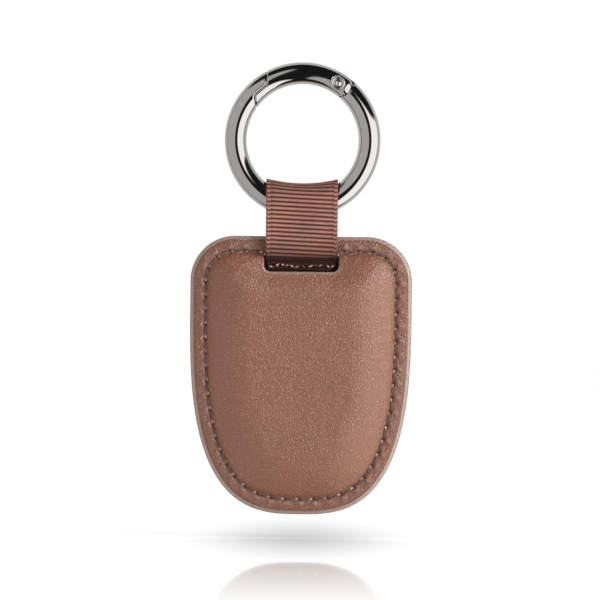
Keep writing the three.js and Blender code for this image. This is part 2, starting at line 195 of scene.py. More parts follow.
def rounded_drop(distance: np.ndarray, width: float, depth: float) -> np.ndarray:
    """Depth of a rounded edge, a quarter of an ellipse, at a distance from it."""
    return depth * (1 - np.sqrt(1 - (1 - np.clip(distance / width, 0, 1)) ** 2))


def ease(value: np.ndarray, low: float, high: float) -> np.ndarray:
    """Smooth step from nought at one value to one at another."""
    share = np.clip((value - low) / (high - low), 0, 1)
    return share**2 * (3 - 2 * share)


def stray(index: np.ndarray, turn: float) -> np.ndarray:
    """Share between nought and one that jumps from one stitch to the next."""
    return np.abs(np.sin(index * 12.99 + turn) * 437.585) % 1


def bump(value: np.ndarray, middle: float, width: float) -> np.ndarray:
    """Soft hill of height one round a value."""
    return np.exp(-(((value - middle) / width) ** 2))


@dataclass
class Skin:
    """Points in millimetres, faces over them, and each face corner's place on the cloth."""

    points: np.ndarray
    faces: list[tuple[int, ...]]
    material: list[int]
    corners: np.ndarray

    def joined(self, other: Skin) -> Skin:
        """This skin and another as one."""
        shift = len(self.points)
        faces = self.faces + [tuple(i + shift for i in face) for face in other.faces]
        points = np.vstack([self.points, other.points])
        return Skin(points, faces, self.material + other.material, np.vstack([self.corners, other.corners]))

    def cap(self, loop: Sequence[int]) -> None:
        """Closes an open end of the skin with one face."""
        self.faces.append(tuple(loop))
        self.material.append(0)
        self.corners = np.vstack([self.corners, np.zeros((len(loop), 2))])


def grid_skin(
    points: np.ndarray, along: np.ndarray, across: np.ndarray, closed: tuple[bool, bool], material: int = 0
) -> Skin:
    """Covers a grid of points with quads that face along cross(row direction, column direction).

    Args:
        points: Points by row and column.
        along: Place on the cloth of each row, with one more if the rows close.
        across: Place on the cloth of each column, with one more if the columns close.
        closed: Whether the rows and the columns close on themselves.
        material: Index of the skin's material.

    Returns:
        The skin.
    """
    rows, columns = points.shape[:2]
    row, column = np.meshgrid(
        np.arange(rows if closed[0] else rows - 1), np.arange(columns if closed[1] else columns - 1), indexing="ij"
    )
    ends = [(row, column), (row + 1, column), (row + 1, column + 1), (row, column + 1)]
    faces = np.stack([(r % rows) * columns + c % columns for r, c in ends], -1).reshape(-1, 4)
    corners = np.stack([np.stack([across[c], along[r]], -1) for r, c in ends], 2).reshape(-1, 2)
    return Skin(points.reshape(-1, 3), [tuple(f) for f in faces.tolist()], [material] * len(faces), corners)


def tube_skin(
    path: np.ndarray, up: np.ndarray, radius: np.ndarray, closed: bool, sides: int = THREAD_SIDES, plies: int = 0,
    lay: float = 1.6
) -> Skin:
    """Sweeps a round or plied section along a path.

    Args:
        path: Points of the middle line.
        up: Direction across the path at each point.
        radius: Radius at each point.
        closed: Whether the path closes on itself.
        sides: Points round the section.
        plies: Twisted plies, or none for a round wire.
        lay: Length of one turn of the plies.

    Returns:
        The skin, with its corners placed by length and share of the turn.
    """
    if closed:
        tangent = np.roll(path, -1, 0) - np.roll(path, 1, 0)
        step = np.linalg.norm(np.roll(path, -1, 0) - path, axis=1)
    else:
        tangent = np.gradient(path, axis=0)
        step = np.append(np.linalg.norm(np.diff(path, axis=0), axis=1), 0.0)
    along = np.concatenate([[0.0], np.cumsum(step)])
    tangent = unit(tangent)
    sideways = unit(np.cross(tangent, up))
    upward = np.cross(sideways, tangent)
    turn = full_turn(sides)
    size = np.repeat(radius[:, None], sides, 1)
    if plies:
        turns = round(along[-1] / lay) / along[-1] if closed else 1 / lay
        phase = plies / 2 * (turn[None] - 2 * np.pi * turns * along[: len(path), None])
        size = size * (0.8 + 0.2 * np.abs(np.cos(phase)))
    ring = np.cos(turn)[None, :, None] * sideways[:, None] + np.sin(turn)[None, :, None] * upward[:, None]
    points = path[:, None] + size[..., None] * ring
    return grid_skin(points, along, np.linspace(0, 1, sides + 1), (closed, True))


def make_piece(
    name: str, skin: Skin, materials: Sequence[bpy.types.Material], crease: float = 40.0
) -> bpy.types.Object:
    """Turns a skin into an object of the scene.

    Args:
        name: Name of the object.
        skin: Its points, faces and materials.
        materials: Materials in the order of the skin's indices.
        crease: Angle in degrees from which an edge stays sharp.

    Returns:
        The object.
    """
    mesh = bpy.data.meshes.new(name)
    mesh.from_pydata((skin.points * MM).tolist(), [], skin.faces)
    for material in materials:
        mesh.materials.append(material)
    mesh.polygons.foreach_set("material_index", skin.material)
    layer = mesh.uv_layers.new(name=CLOTH_MAP)
    layer.data.foreach_set("uv", (skin.corners * MM).astype(np.float32).ravel())
    smooth_edges(mesh, crease)
    piece = bpy.data.objects.new(name, mesh)
    bpy.context.scene.collection.objects.link(piece)
    return piece


def smooth_edges(mesh: bpy.types.Mesh, crease: float) -> None:
    """Shades a mesh smooth, apart from edges sharper than an angle in degrees."""
    mesh.polygons.foreach_set("use_smooth", np.ones(len(mesh.polygons), bool))
    mesh.set_sharp_from_angle(angle=math.radians(crease))
    mesh.update()


def dress(piece: bpy.types.Object, material: bpy.types.Material) -> None:
    """Gives a piece one material alone."""
    piece.data.materials.clear()
    piece.data.materials.append(material)


def mark(piece: bpy.types.Object, name: str, values: np.ndarray) -> None:
    """Gives each point of a piece a value that its materials can read.

    Args:
        piece: The piece.
        name: Name of the value.
        values: One value for each point.
    """
    layer = piece.data.attributes.new(name, "FLOAT", "POINT")
    layer.data.foreach_set("value", values.astype(np.float32))


def points_of(mesh: bpy.types.Mesh) -> np.ndarray:
    """Points of a mesh, in millimetres."""
    place = np.empty(3 * len(mesh.vertices))
    mesh.vertices.foreach_get("co", place)
    return place.reshape(-1, 3) / MM


def bare_skin(points: np.ndarray, faces: Sequence[Sequence[int]], material: int | Sequence[int] = 0) -> Skin:
    """Skin whose corners lie at their X and Z."""
    index = [material] * len(faces) if isinstance(material, int) else list(material)
    corner = np.fromiter((i for face in faces for i in face), int)
    return Skin(points, [tuple(face) for face in faces], index, points[corner][:, [0, 2]])


def prism_skin(outline: np.ndarray, low: float, high: float) -> Skin:
    """Straight block over a counter-clockwise outline in X and Z, between two depths in Y."""
    count = len(outline)
    points = raised(np.vstack([outline, outline]), np.repeat([low, high], count))
    sides = [(i, i + count, (i + 1) % count + count, (i + 1) % count) for i in range(count)]
    flat = delaunay_2d_cdt([Vector(p) for p in outline], [], [list(range(count))], 1, 1e-7)
    caps = [tuple(f) for f in flat[2]] + [tuple(i + count for i in reversed(f)) for f in flat[2]]
    return bare_skin(points, sides + caps)


def carve(base: bpy.types.Object, tool: bpy.types.Object, how: Carve) -> None:
    """Cuts one solid by another, which is used up.

    Args:
        base: The solid that is cut.
        tool: The solid that cuts it.
        how: Whether the tool's space is taken away or kept.
    """
    cut = base.modifiers.new("carve", "BOOLEAN")
    cut.operation = how.value
    cut.solver = "MANIFOLD"
    cut.object = tool
    graph = bpy.context.evaluated_depsgraph_get()
    made = bpy.data.meshes.new_from_object(base.evaluated_get(graph))
    base.modifiers.clear()
    spent = base.data
    base.data = made
    bpy.data.meshes.remove(spent)
    bpy.data.objects.remove(tool)


# Shader graphs


class Graph:
    """Adds nodes to a shader tree, sets their sockets and links them."""

    def __init__(self, tree: bpy.types.NodeTree) -> None:
        """Takes the tree that the nodes go into."""
        self.tree = tree

    def feed(self, socket: bpy.types.NodeSocket, value: Value) -> None:
        """Links a socket to another one, or sets its own value."""
        if isinstance(value, bpy.types.NodeSocket):
            self.tree.links.new(value, socket)
        elif isinstance(value, tuple) and len(value) == 3 and socket.type == "RGBA":
            socket.default_value = (*value, 1.0)
        else:
            socket.default_value = value

    def node(self, kind: str, inputs: dict[Any, Value] | None = None, **settings: Any) -> bpy.types.Node:
        """Adds a node.

        Args:
            kind: Blender's name of the node.
            inputs: Values or sockets by input name or index.
            settings: Properties of the node.

        Returns:
            The node.
        """
        made = self.tree.nodes.new(kind)
        for key, value in settings.items():
            setattr(made, key, value)
        for key, value in (inputs or {}).items():
            self.feed(made.inputs[key], value)
        return made

    def math(self, operation: str, a: Value, b: Value = 0.0) -> bpy.types.NodeSocket:
        """Result of a calculation on two values."""
        return self.node("ShaderNodeMath", {0: a, 1: b}, operation=operation).outputs[0]

    def product(self, *values: Value) -> bpy.types.NodeSocket:
        """Product of several values."""
        return reduce(lambda a, b: self.math("MULTIPLY", a, b), values)

    def total(self, *terms: tuple[Value, float]) -> bpy.types.NodeSocket:
        """Sum of several values, each times its weight."""
        return reduce(lambda a, b: self.math("ADD", a, b), [self.product(*term) for term in terms])

    def vector(self, operation: str, a: Value, b: Value) -> bpy.types.NodeSocket:
        """Result of a calculation on two vectors."""
        return self.node("ShaderNodeVectorMath", {0: a, 1: b}, operation=operation).outputs[0]

    def split(self, vector: Value) -> Any:
        """The three parts of a vector."""
        return self.node("ShaderNodeSeparateXYZ", {0: vector}).outputs

    def ramp(
        self, value: Value, low: Value, high: Value, start: Value = 0.0, end: Value = 1.0
    ) -> bpy.types.NodeSocket:
        """Eases a value from one range into another."""
        inputs = {"Value": value, "From Min": low, "From Max": high, "To Min": start, "To Max": end}
        return self.node("ShaderNodeMapRange", inputs, interpolation_type="SMOOTHSTEP").outputs[0]

    def blend(self, factor: Value, a: Value, b: Value) -> bpy.types.NodeSocket:
        """Mixes two colours."""
        return self.node("ShaderNodeMix", {0: factor, 6: a, 7: b}, data_type="RGBA").outputs[2]

    def noise(self, vector: Value, scale: Value, detail: float = 3.0) -> bpy.types.NodeSocket:
        """Cloudy value from nought to one."""
        inputs = {"Vector": vector, "Scale": scale, "Detail": detail}
        return self.node("ShaderNodeTexNoise", inputs).outputs[0]

    def cells(self, vector: Value, scale: Value, feature: str) -> bpy.types.NodeSocket:
        """Distance pattern of scattered cells."""
        inputs = {"Vector": vector, "Scale": scale}
        return self.node("ShaderNodeTexVoronoi", inputs, feature=feature).outputs["Distance"]

    def place(self) -> bpy.types.NodeSocket:
        """Place on the piece, in metres."""
        return self.node("ShaderNodeTexCoord").outputs["Object"]

    def marked(self, name: str) -> bpy.types.NodeSocket:
        """Value that a piece's points carry under a name."""
        return self.node("ShaderNodeAttribute", attribute_name=name).outputs["Fac"]

    def emboss(self, shader: bpy.types.Node, strength: float, depth: float, height: Value) -> None:
        """Tilts a shader's surface by a height.

        Args:
            shader: The shader.
            strength: Share of the effect.
            depth: Depth of the relief, in metres.
            height: The height.
        """
        relief = self.node("ShaderNodeBump", {"Strength": strength, "Distance": depth, "Height": height})
        self.feed(shader.inputs["Normal"], relief.outputs[0])


def fresh_graph(owner: bpy.types.Material | bpy.types.World) -> Graph:
    """Empties the shader tree of a material or a world."""
    owner.use_nodes = True
    owner.node_tree.nodes.clear()
    return Graph(owner.node_tree)


class Effect:
    """Shader effect that several materials share, as a node group."""

    name = "effect"
    inputs: dict[str, float] = {}
    outputs: tuple[str, ...] = ()

    def __init__(self) -> None:
        """Builds the group once."""
        self.tree = bpy.data.node_groups.new(self.name, "ShaderNodeTree")
        for name, value in self.inputs.items():
            socket = self.tree.interface.new_socket(name, in_out="INPUT", socket_type="NodeSocketFloat")
            socket.default_value = value
        for name in self.outputs:
            self.tree.interface.new_socket(name, in_out="OUTPUT", socket_type="NodeSocketFloat")
        graph = Graph(self.tree)
        given = graph.node("NodeGroupInput").outputs
        made = self.draw(graph, given)
        graph.node("NodeGroupOutput", dict(zip(self.outputs, made)))

    def draw(self, graph: Graph, given: Any) -> Sequence[bpy.types.NodeSocket]:
        """Adds the effect's nodes.

        Args:
            graph: Graph of the group.
            given: Outputs of the group's input node.

        Returns:
            One socket for each output of the group.
        """
        raise NotImplementedError

    def put(self, graph: Graph, **values: Value) -> Any:
        """Places the effect in a material and returns its outputs."""
        node = graph.node("ShaderNodeGroup", node_tree=self.tree)
        for name, value in values.items():
            graph.feed(node.inputs[name.replace("_", " ")], value)
        return node.outputs


class Grain(Effect):
    """Pebbled grain with fine pores, as on finished leather."""

    name = "pebbled_grain"
    inputs = {"pebbles per metre": 1500.0, "stretch": 1.0}
    outputs = ("height", "tone")

    def draw(self, graph: Graph, given: Any) -> Sequence[bpy.types.NodeSocket]:
        """Adds pebbles, pores and a fine tooth."""
        scale = given["pebbles per metre"]
        stretch = graph.node("ShaderNodeCombineXYZ", {0: 1.0, 1: 1.0, 2: given["stretch"]}).outputs[0]
        place = graph.vector("MULTIPLY", graph.place(), stretch)
        wander = graph.node("ShaderNodeTexNoise", {"Vector": place, "Scale": 700.0, "Detail": 2.0}).outputs["Color"]
        drift = graph.node("ShaderNodeVectorMath", {0: wander, "Scale": 0.0009}, operation="SCALE").outputs[0]
        place = graph.vector("ADD", place, drift)
        crease = graph.ramp(graph.cells(place, scale, "DISTANCE_TO_EDGE"), 0.0, 0.45)
        swell = graph.ramp(graph.noise(place, graph.product(scale, 1.6), 2.0), 0.25, 0.75)
        tooth = graph.noise(place, graph.product(scale, 2.6), 2.0)
        height = graph.total((crease, 0.55), (swell, 0.25), (tooth, 0.2))
        return height, graph.ramp(height, 0.25, 0.7)


class Handling(Effect):
    """Slow changes of tone and gloss from dye and handling."""

    name = "handling_clouds"
    inputs = {"clouds per metre": 60.0}
    outputs = ("tone", "gloss")

    def draw(self, graph: Graph, given: Any) -> Sequence[bpy.types.NodeSocket]:
        """Adds broad clouds and smaller flecks."""
        place = graph.place()
        broad = graph.noise(place, given["clouds per metre"], 3.0)
        fleck = graph.noise(place, graph.product(given["clouds per metre"], 9.0), 4.0)
        return graph.ramp(graph.total((broad, 0.7), (fleck, 0.3)), 0.3, 0.7), graph.ramp(fleck, 0.3, 0.7)


class EdgeWear(Effect):
    """Mask of rubbed outer edges."""

    name = "rubbed_edges"
    inputs = {"sharpest": 0.56}
    outputs = ("wear",)

    def draw(self, graph: Graph, given: Any) -> Sequence[bpy.types.NodeSocket]:
        """Adds the mask, broken up by small noise."""
        ridge = graph.node("ShaderNodeNewGeometry").outputs["Pointiness"]
        broken = graph.ramp(graph.noise(graph.place(), 2500.0, 3.0), 0.3, 0.7, 0.5, 1.0)
        return (graph.product(graph.ramp(ridge, 0.51, given["sharpest"]), broken),)


class Yarn(Effect):
    """Fine parallel filaments across the cloth's own length or width."""

    name = "yarn_filaments"
    inputs = {"filaments per metre": 6000.0, "slant": 0.0}
    outputs = ("height", "tone")

    def draw(self, graph: Graph, given: Any) -> Sequence[bpy.types.NodeSocket]:
        """Adds filaments with a little fuzz."""
        across, along, _ = graph.split(graph.node("ShaderNodeUVMap", uv_map=CLOTH_MAP).outputs[0])
        fuzz = graph.noise(graph.place(), 3500.0, 3.0)
        course = graph.math("ADD", across, graph.product(along, given["slant"]))
        course = graph.product(course, given["filaments per metre"])
        course = graph.math("ADD", course, graph.product(fuzz, 0.8))
        wave = graph.math("SINE", graph.product(course, 2 * math.pi))
        height = graph.ramp(wave, -1.0, 1.0)
        return height, graph.product(graph.math("ADD", height, graph.ramp(fuzz, 0.25, 0.75)), 0.5)


class Polish(Effect):
    """Hairlines and haze left on polished metal."""

    name = "polish_haze"
    inputs = {"hairlines per metre": 2600.0}
    outputs = ("height", "haze")

    def draw(self, graph: Graph, given: Any) -> Sequence[bpy.types.NodeSocket]:
        """Adds stretched hairlines and a cloudy haze."""
        place = graph.place()
        hair = graph.noise(graph.vector("MULTIPLY", place, (1.0, 0.06, 0.35)), given["hairlines per metre"], 4.0)
        haze = graph.noise(place, 240.0, 4.0)
        return hair, graph.ramp(haze, 0.3, 0.75)


@dataclass(frozen=True)
class Effects:
    """The shared shader effects, each built once."""

    grain: Grain = field(default_factory=Grain)
    handling: Handling = field(default_factory=Handling)
    wear: EdgeWear = field(default_factory=EdgeWear)
    yarn: Yarn = field(default_factory=Yarn)
    polish: Polish = field(default_factory=Polish)


def new_material(name: str) -> tuple[bpy.types.Material, Graph, bpy.types.Node]:
    """Makes an empty material with one shader.

    Args:
        name: Name of the material.

    Returns:
        The material, its graph and its shader node.
    """
    material = bpy.data.materials.new(name)
    graph = fresh_graph(material)
    shader = graph.node("ShaderNodeBsdfPrincipled")
    graph.node("ShaderNodeOutputMaterial", {"Surface": shader.outputs[0]})
    return material, graph, shader


@dataclass(frozen=True)
class MetalFinish:
    """Polished or drawn metal."""

    name: str
    colour: Colour
    dull: Colour
    roughness: float
    haze: float
    hairlines: float

    def made(self, effects: Effects) -> bpy.types.Material:
        """Builds the material from the shared effects."""
        material, graph, shader = new_material(self.name)
        polish = effects.polish.put(graph, hairlines_per_metre=self.hairlines)
        wear = effects.wear.put(graph, sharpest=0.6)["wear"]
        colour = graph.blend(graph.product(wear, 0.35), self.colour, self.dull)
        graph.feed(shader.inputs["Base Color"], colour)
        rough = graph.ramp(polish["haze"], 0.0, 1.0, self.roughness, self.roughness + self.haze)
        graph.feed(shader.inputs["Roughness"], rough)
        shader.inputs["Metallic"].default_value = 1.0
        graph.emboss(shader, 0.05, 2e-6, polish["height"])
        return material


@dataclass(frozen=True)
class LeatherFinish:
    """Dyed leather with a pebbled grain, worn edges and an edge band painted lighter, partly edge paint and partly
    painted sheen.
    """

    name: str
    colour: Colour
    shade: Colour
    worn_edge_and_sheen: Colour
    crease: Colour
    # Colour of the painted shade in creases, needle holes and slot walls.
    roughness: float
    gloss_change: float
    gloss: float
    pebbles: float
    relief: float

    def made(self, effects: Effects) -> bpy.types.Material:
        """Builds the material from the shared effects."""
        material, graph, shader = new_material(self.name)
        grain = effects.grain.put(graph, pebbles_per_metre=self.pebbles, stretch=0.8)
        clouds = effects.handling.put(graph, clouds_per_metre=70.0)
        wear = effects.wear.put(graph)["wear"]
        edge, crease = graph.marked("edge"), graph.marked("crease")
        tone = graph.total((grain["tone"], 0.8), (clouds["tone"], 0.2))
        colour = graph.blend(tone, self.shade, self.colour)
        # The outer edge band and the slot's lower lip are painted lighter: partly edge paint, partly painted sheen.
        worn_edge_and_sheen = graph.math("MAXIMUM", graph.product(wear, 0.2), graph.product(edge, 0.85))
        colour = graph.blend(worn_edge_and_sheen, colour, self.worn_edge_and_sheen)
        # The "crease" mark is painted shade: it darkens the colour towards near black.
        graph.feed(shader.inputs["Base Color"], graph.blend(crease, colour, self.crease))
        rough = graph.ramp(clouds["gloss"], 0.0, 1.0, self.roughness, self.roughness + self.gloss_change)
        rough = graph.product(rough, graph.ramp(edge, 0.0, 1.0, 1.0, 0.7))
        graph.feed(shader.inputs["Roughness"], graph.math("MAXIMUM", rough, crease))
        shader.inputs["Specular IOR Level"].default_value = self.gloss
        graph.emboss(shader, 0.8, self.relief, grain["height"])
        return material


@dataclass(frozen=True)
class ClothFinish:
    """Woven or twisted yarn, darker in its hollows than on its crowns; on ribbons the dark rib hollows are painted
    shade.
    """

    name: str
    crown: Colour
    hollow: Colour
    roughness: float
    filaments: float
    slant: float
    ribs: bool = False
    # Colour of the painted glints on a thread, where it has them.
    tip: Colour | None = None
    gloss: float = 0.25

    def made(self, effects: Effects) -> bpy.types.Material:
        """Builds the material from the shared effects."""
        material, graph, shader = new_material(self.name)
        yarn = effects.yarn.put(graph, filaments_per_metre=self.filaments, slant=self.slant)
        clouds = effects.handling.put(graph, clouds_per_metre=180.0)
        tone = graph.total((yarn["tone"], 0.6), (clouds["tone"], 0.4))
        if self.ribs:
            # The ribbon's "crown" mark is painted shade: it darkens the rib hollows, the tail inside the slot and the
            # turn over the ring.
            tone = graph.product(graph.ramp(tone, 0.0, 1.0, 0.6, 1.0), graph.marked("crown"))
        colour = graph.blend(tone, self.hollow, self.crown)
        # Painted highlight: the marked spots of the thread take a light glint colour.
        if self.tip:
            colour = graph.blend(graph.marked("tip"), colour, self.tip)
        graph.feed(shader.inputs["Base Color"], colour)
        graph.feed(shader.inputs["Roughness"], graph.ramp(tone, 0.0, 1.0, self.roughness + 0.15, self.roughness))
        shader.inputs["Sheen Weight"].default_value = 0.06
        shader.inputs["Specular IOR Level"].default_value = self.gloss
        graph.emboss(shader, 0.5, 3e-5, yarn["height"])
        return material


@dataclass(frozen=True)
class FillFinish:
    """Plain filling material: foam cells or pressed board."""

    name: str
    colour: Colour
    shade: Colour
    cells: float

    def made(self, effects: Effects) -> bpy.types.Material:
        """Builds the material from the shared effects."""
        material, graph, shader = new_material(self.name)
        grain = effects.grain.put(graph, pebbles_per_metre=self.cells)
        clouds = effects.handling.put(graph, clouds_per_metre=120.0)
        tone = graph.product(graph.math("ADD", grain["tone"], clouds["tone"]), 0.5)
        graph.feed(shader.inputs["Base Color"], graph.blend(tone, self.shade, self.colour))
        shader.inputs["Roughness"].default_value = 0.9
        graph.emboss(shader, 0.7, 8e-5, grain["height"])
        return material


class Finishes:
    """Every material of the key holder."""

    def __init__(self) -> None:
        """Builds the shared effects and the materials."""
        effects = Effects()
        self.gunmetal = MetalFinish(
            "gunmetal", (0.385, 0.374, 0.362), (0.5, 0.49, 0.48), 0.05, 0.04, 2600.0).made(effects)
        self.rivet = MetalFinish(
            "rivet_steel", (0.6, 0.59, 0.575), (0.68, 0.67, 0.66), 0.17, 0.05, 2600.0).made(effects)
        self.spring = MetalFinish(
            "spring_steel", (0.5, 0.5, 0.49), (0.6, 0.6, 0.59), 0.22, 0.12, 5000.0).made(effects)
        self.leather = LeatherFinish(
            "leather", (0.345, 0.133, 0.07), (0.225, 0.079, 0.038), (0.44, 0.31, 0.26), (0.012, 0.004, 0.003),
            0.43, 0.06, 0.8, 1900.0, 1.6e-4
        ).made(effects)
        self.cut_edge = LeatherFinish(
            "cut_edge", (0.34, 0.18, 0.13), (0.24, 0.12, 0.085), (0.44, 0.31, 0.26), (0.012, 0.004, 0.003),
            0.5, 0.15, 0.5, 3200.0, 1.2e-4
        ).made(effects)
        self.ribbon = ClothFinish(
            # The ribbon's near-black hollow colour is painted shade in its rib hollows.
            "ribbon", (0.68, 0.318, 0.245), (0.035, 0.009, 0.006), 0.5, 6400.0, 0.0, ribs=True).made(effects)
        self.thread = ClothFinish(
            "thread", (0.21, 0.088, 0.064), (0.06, 0.022, 0.016), 0.3, 4000.0, 2.0, tip=(0.85, 0.66, 0.58), gloss=0.8
        ).made(effects)
        self.tail_thread = ClothFinish(
            "tail_thread", (0.1, 0.036, 0.028), (0.02, 0.007, 0.006), 0.45, 4000.0, 2.0, tip=(0.78, 0.5, 0.43)
        ).made(effects)
        self.foam = FillFinish("foam", (0.72, 0.66, 0.56), (0.6, 0.54, 0.45), 2200.0).made(effects)
        self.board = FillFinish("board", (0.4, 0.28, 0.17), (0.3, 0.2, 0.12), 3000.0).made(effects)


# Ring with its gate


@dataclass
class GatedRing:
    """Round wire ring with a hinged gate, its rivet and its spring."""

    middle: float = 14.95
    wire: float = 2.45
    sides: int = 96
    pin_sides: int = 64
    hinge: float = 58.6
    heel: float = 3.1
    gap: float = 0.03
    lip: float = 8.2
    nose: float = 10.9
    drop: float = 0.25
    lean: float = 14.0
    lap_round: float = 0.7
    edge_round: float = 0.42
    brim: tuple[float, float] = (0.2, 0.14)
    near_face: float = 0.02
    facet: float = 1.15
    facet_slope: float = 0.4
    facet_reach: float = 1.6
    fine_edge: float = 0.7
    fine_brim: float = 0.4
    fork: float = 1.1
    fork_end: float = 2.66
    tongue: tuple[float, float, float] = (0.8, 2.6, 1.65)
    slack: float = 0.04
    seat: float = 1.56
    seat_depth: float = 0.55
    rivet: float = 1.5
    spring: float = 4.8
    coil_radius: float = 0.6
    coil_wire: float = 0.3
    coil_turns: float = 5.5
    coil_left: float = 0.65
    coil_foot: tuple[float, float] = (0.3, -0.9)
    coil_tilt: float = 12.0
    clear: float = 8.0
    beyond: float = 5.0

    def __post_init__(self) -> None:
        """Works out the hinge's place and directions."""
        turn = math.radians(self.hinge)
        self.out = np.array([math.cos(turn), math.sin(turn)])
        self.along = np.array([-self.out[1], self.out[0]])
        self.pin = self.middle * self.out

    def from_pin(self, along: np.ndarray | float, out: np.ndarray | float) -> np.ndarray:
        """Point of the ring's plane, given along the wire and outwards from the pin."""
        return self.pin + np.multiply.outer(along, self.along) + np.multiply.outer(out, self.out)

    def wire_solid(self, name: str, slack: float = 0.0) -> bpy.types.Object:
        """Whole ring of wire, thinner by a slack, finer near the hinge and the latch."""
        fine, coarse = 0.35, 1.5
        runs = ((44.0, 63.0, fine), (63.0, 116.0, coarse), (116.0, 149.0, fine), (149.0, 404.0, coarse))
        turn = np.radians(np.concatenate([np.arange(*run) for run in runs]))
        round_it = full_turn(self.sides)
        reach = self.middle + (self.wire - slack) * np.cos(round_it)[None]
        depth = np.repeat(((self.wire - slack) * np.sin(round_it))[None], len(turn), 0)
        points = np.stack([reach * np.cos(turn)[:, None], depth, reach * np.sin(turn)[:, None]], -1)
        skin = grid_skin(points[:, ::-1], np.zeros(len(turn) + 1), np.zeros(self.sides + 1), (True, True))
        return make_piece(name, skin, [])

    def gate_outline(self, gap: float) -> np.ndarray:
        """Outline that holds the gate's share of the wire.

        Args:
            gap: Growth of the outline at both ends of the gate.

        Returns:
            Counter-clockwise points in X and Z.
        """
        heel = self.heel + gap
        turn = np.radians(np.linspace(0, 90, 13))
        hinge_end = [self.from_pin(-heel, self.clear), *self.from_pin(-heel * np.cos(turn), -heel * np.sin(turn))]
        lap, lip, nose = self.middle - self.drop + gap, self.lip + gap, self.nose + gap
        nose_z, lip_z = math.sqrt(lap**2 - nose**2), math.sqrt(lap**2 - lip**2)
        foot = nose_z * math.tan(math.radians(self.lean)) - nose
        latch = [np.array(p) for p in ((foot, 0.0), (-nose, nose_z), (-lip, lip_z), (-lip, 30.0))]
        bends = [*rounded(*latch[:3], self.lap_round + gap), *rounded(*latch[1:], self.lap_round - gap)]
        return np.array([*hinge_end, latch[0], *bends, latch[3]])[::-1]

    def soften(self, piece: bpy.types.Object, ends: np.ndarray, seat: bool) -> None:
        """Rounds the wire off along its cut ends and round the rivet's seat.

        Args:
            piece: Carved piece of the ring.
            ends: Outline that cut it.
            seat: Whether the rivet's seat is in it.
        """
        ends = resampled(ends, 4000)
        for _ in range(2):
            self.refine(piece.data, ends, seat)
        mesh = piece.data
        place = points_of(mesh)
        flat = place[:, [0, 2]]
        bulge, size = self.bulge(place)
        on_wire = np.abs(size - self.wire) < self.near_face
        near = np.full(len(place), np.inf)
        near[on_wire] = nearest_on_loop(flat[on_wire], ends)[0]
        sink = rounded_drop(near, self.edge_round, self.edge_round)
        if seat:
            brim = np.abs(np.linalg.norm(flat - self.pin, axis=1) - self.seat)
            sink = np.maximum(sink, rounded_drop(brim, *self.brim))
            along, out = (flat - self.pin) @ self.along, (flat - self.pin) @ self.out
            slope = np.clip(self.facet - self.heel - along, 0, None) * self.facet_slope
            sink = np.maximum(sink, slope * cushion(out + self.facet_reach, self.facet_reach))
        place[on_wire] += ((self.wire - sink) / np.maximum(size, 1e-6) - 1)[on_wire, None] * bulge[on_wire]
        mesh.vertices.foreach_set("co", (place * MM).ravel())
        smooth_edges(mesh, METAL_CREASE)

    def bulge(self, place: np.ndarray) -> tuple[np.ndarray, np.ndarray]:
        """Offset of each point from the wire's middle line, and its length."""
        reach = np.hypot(place[:, 0], place[:, 2])
        away = (reach - self.middle) / reach
        offset = np.stack([away * place[:, 0], place[:, 1], away * place[:, 2]], -1)
        return offset, np.linalg.norm(offset, axis=1)

    def refine(self, mesh: bpy.types.Mesh, ends: np.ndarray, seat: bool) -> None:
        """Halves the mesh's edges on the wire's face along its cut ends and round the rivet's seat.

        Args:
            mesh: Mesh of a carved piece.
            ends: Outline that cut it.
            seat: Whether the rivet's seat is in it.
        """
        place = points_of(mesh)
        flat = place[:, [0, 2]]
        near = np.abs(self.bulge(place)[1] - self.wire) < self.near_face
        brim = np.abs(np.linalg.norm(flat - self.pin, axis=1) - self.seat) < self.fine_brim
        near[near] = (nearest_on_loop(flat[near], ends)[0] < self.fine_edge) | (brim[near] & seat)
        shape = bmesh.new()
        shape.from_mesh(mesh)
        bmesh.ops.triangulate(shape, faces=shape.faces)
        edges = [edge for edge in shape.edges if near[edge.verts[0].index] and near[edge.verts[1].index]]
        bmesh.ops.subdivide_edges(shape, edges=edges, cuts=1, use_grid_fill=True)
        bmesh.ops.triangulate(shape, faces=shape.faces)
        shape.to_mesh(mesh)
        shape.free()

    def block(self, outline: np.ndarray, half: float) -> bpy.types.Object:
        """Cutting block over an outline, as deep on both sides of the ring's plane."""
        return make_piece("cutter", prism_skin(outline, -half, half), [])

    def plug(self, radius: float, low: float, high: float) -> bpy.types.Object:
        """Cutting plug round the pin's axis."""
        turn = full_turn(self.pin_sides)
        outline = self.pin + radius * np.stack([np.cos(turn), np.sin(turn)], -1)
        return make_piece("cutter", prism_skin(outline, low, high), [])

    def body(self) -> bpy.types.Object:
        """Fixed part of the ring with the hinge's tongue."""
        piece = self.wire_solid("ring_wire")
        ends = self.gate_outline(self.gap)
        carve(piece, self.block(ends, self.clear), Carve.AWAY)
        self.soften(piece, ends, False)
        thick, half, nose = self.tongue
        tongue = self.wire_solid("tongue", self.slack)
        carve(tongue, self.block(self.round_end(-(self.heel + self.gap + 0.6), half, nose), thick), Carve.KEEP)
        return merged(piece, tongue)

    def round_end(self, start: float, radius: float, cut: float) -> np.ndarray:
        """Outline across the wire with a round end about the pin, cut off flat.

        Args:
            start: Where it starts, along the wire from the pin.
            radius: Radius of the end.
            cut: Where the end is cut off.

        Returns:
            Counter-clockwise points in X and Z.
        """
        turn = np.radians(np.linspace(-90, 90, 41))
        along = np.concatenate([[start, 0.0], np.minimum(radius * np.cos(turn), cut), [0.0, start]])
        past = self.beyond
        out = np.concatenate([[-past, -past], radius * np.sin(turn), [past, past]])
        return self.from_pin(along, out)[::-1]

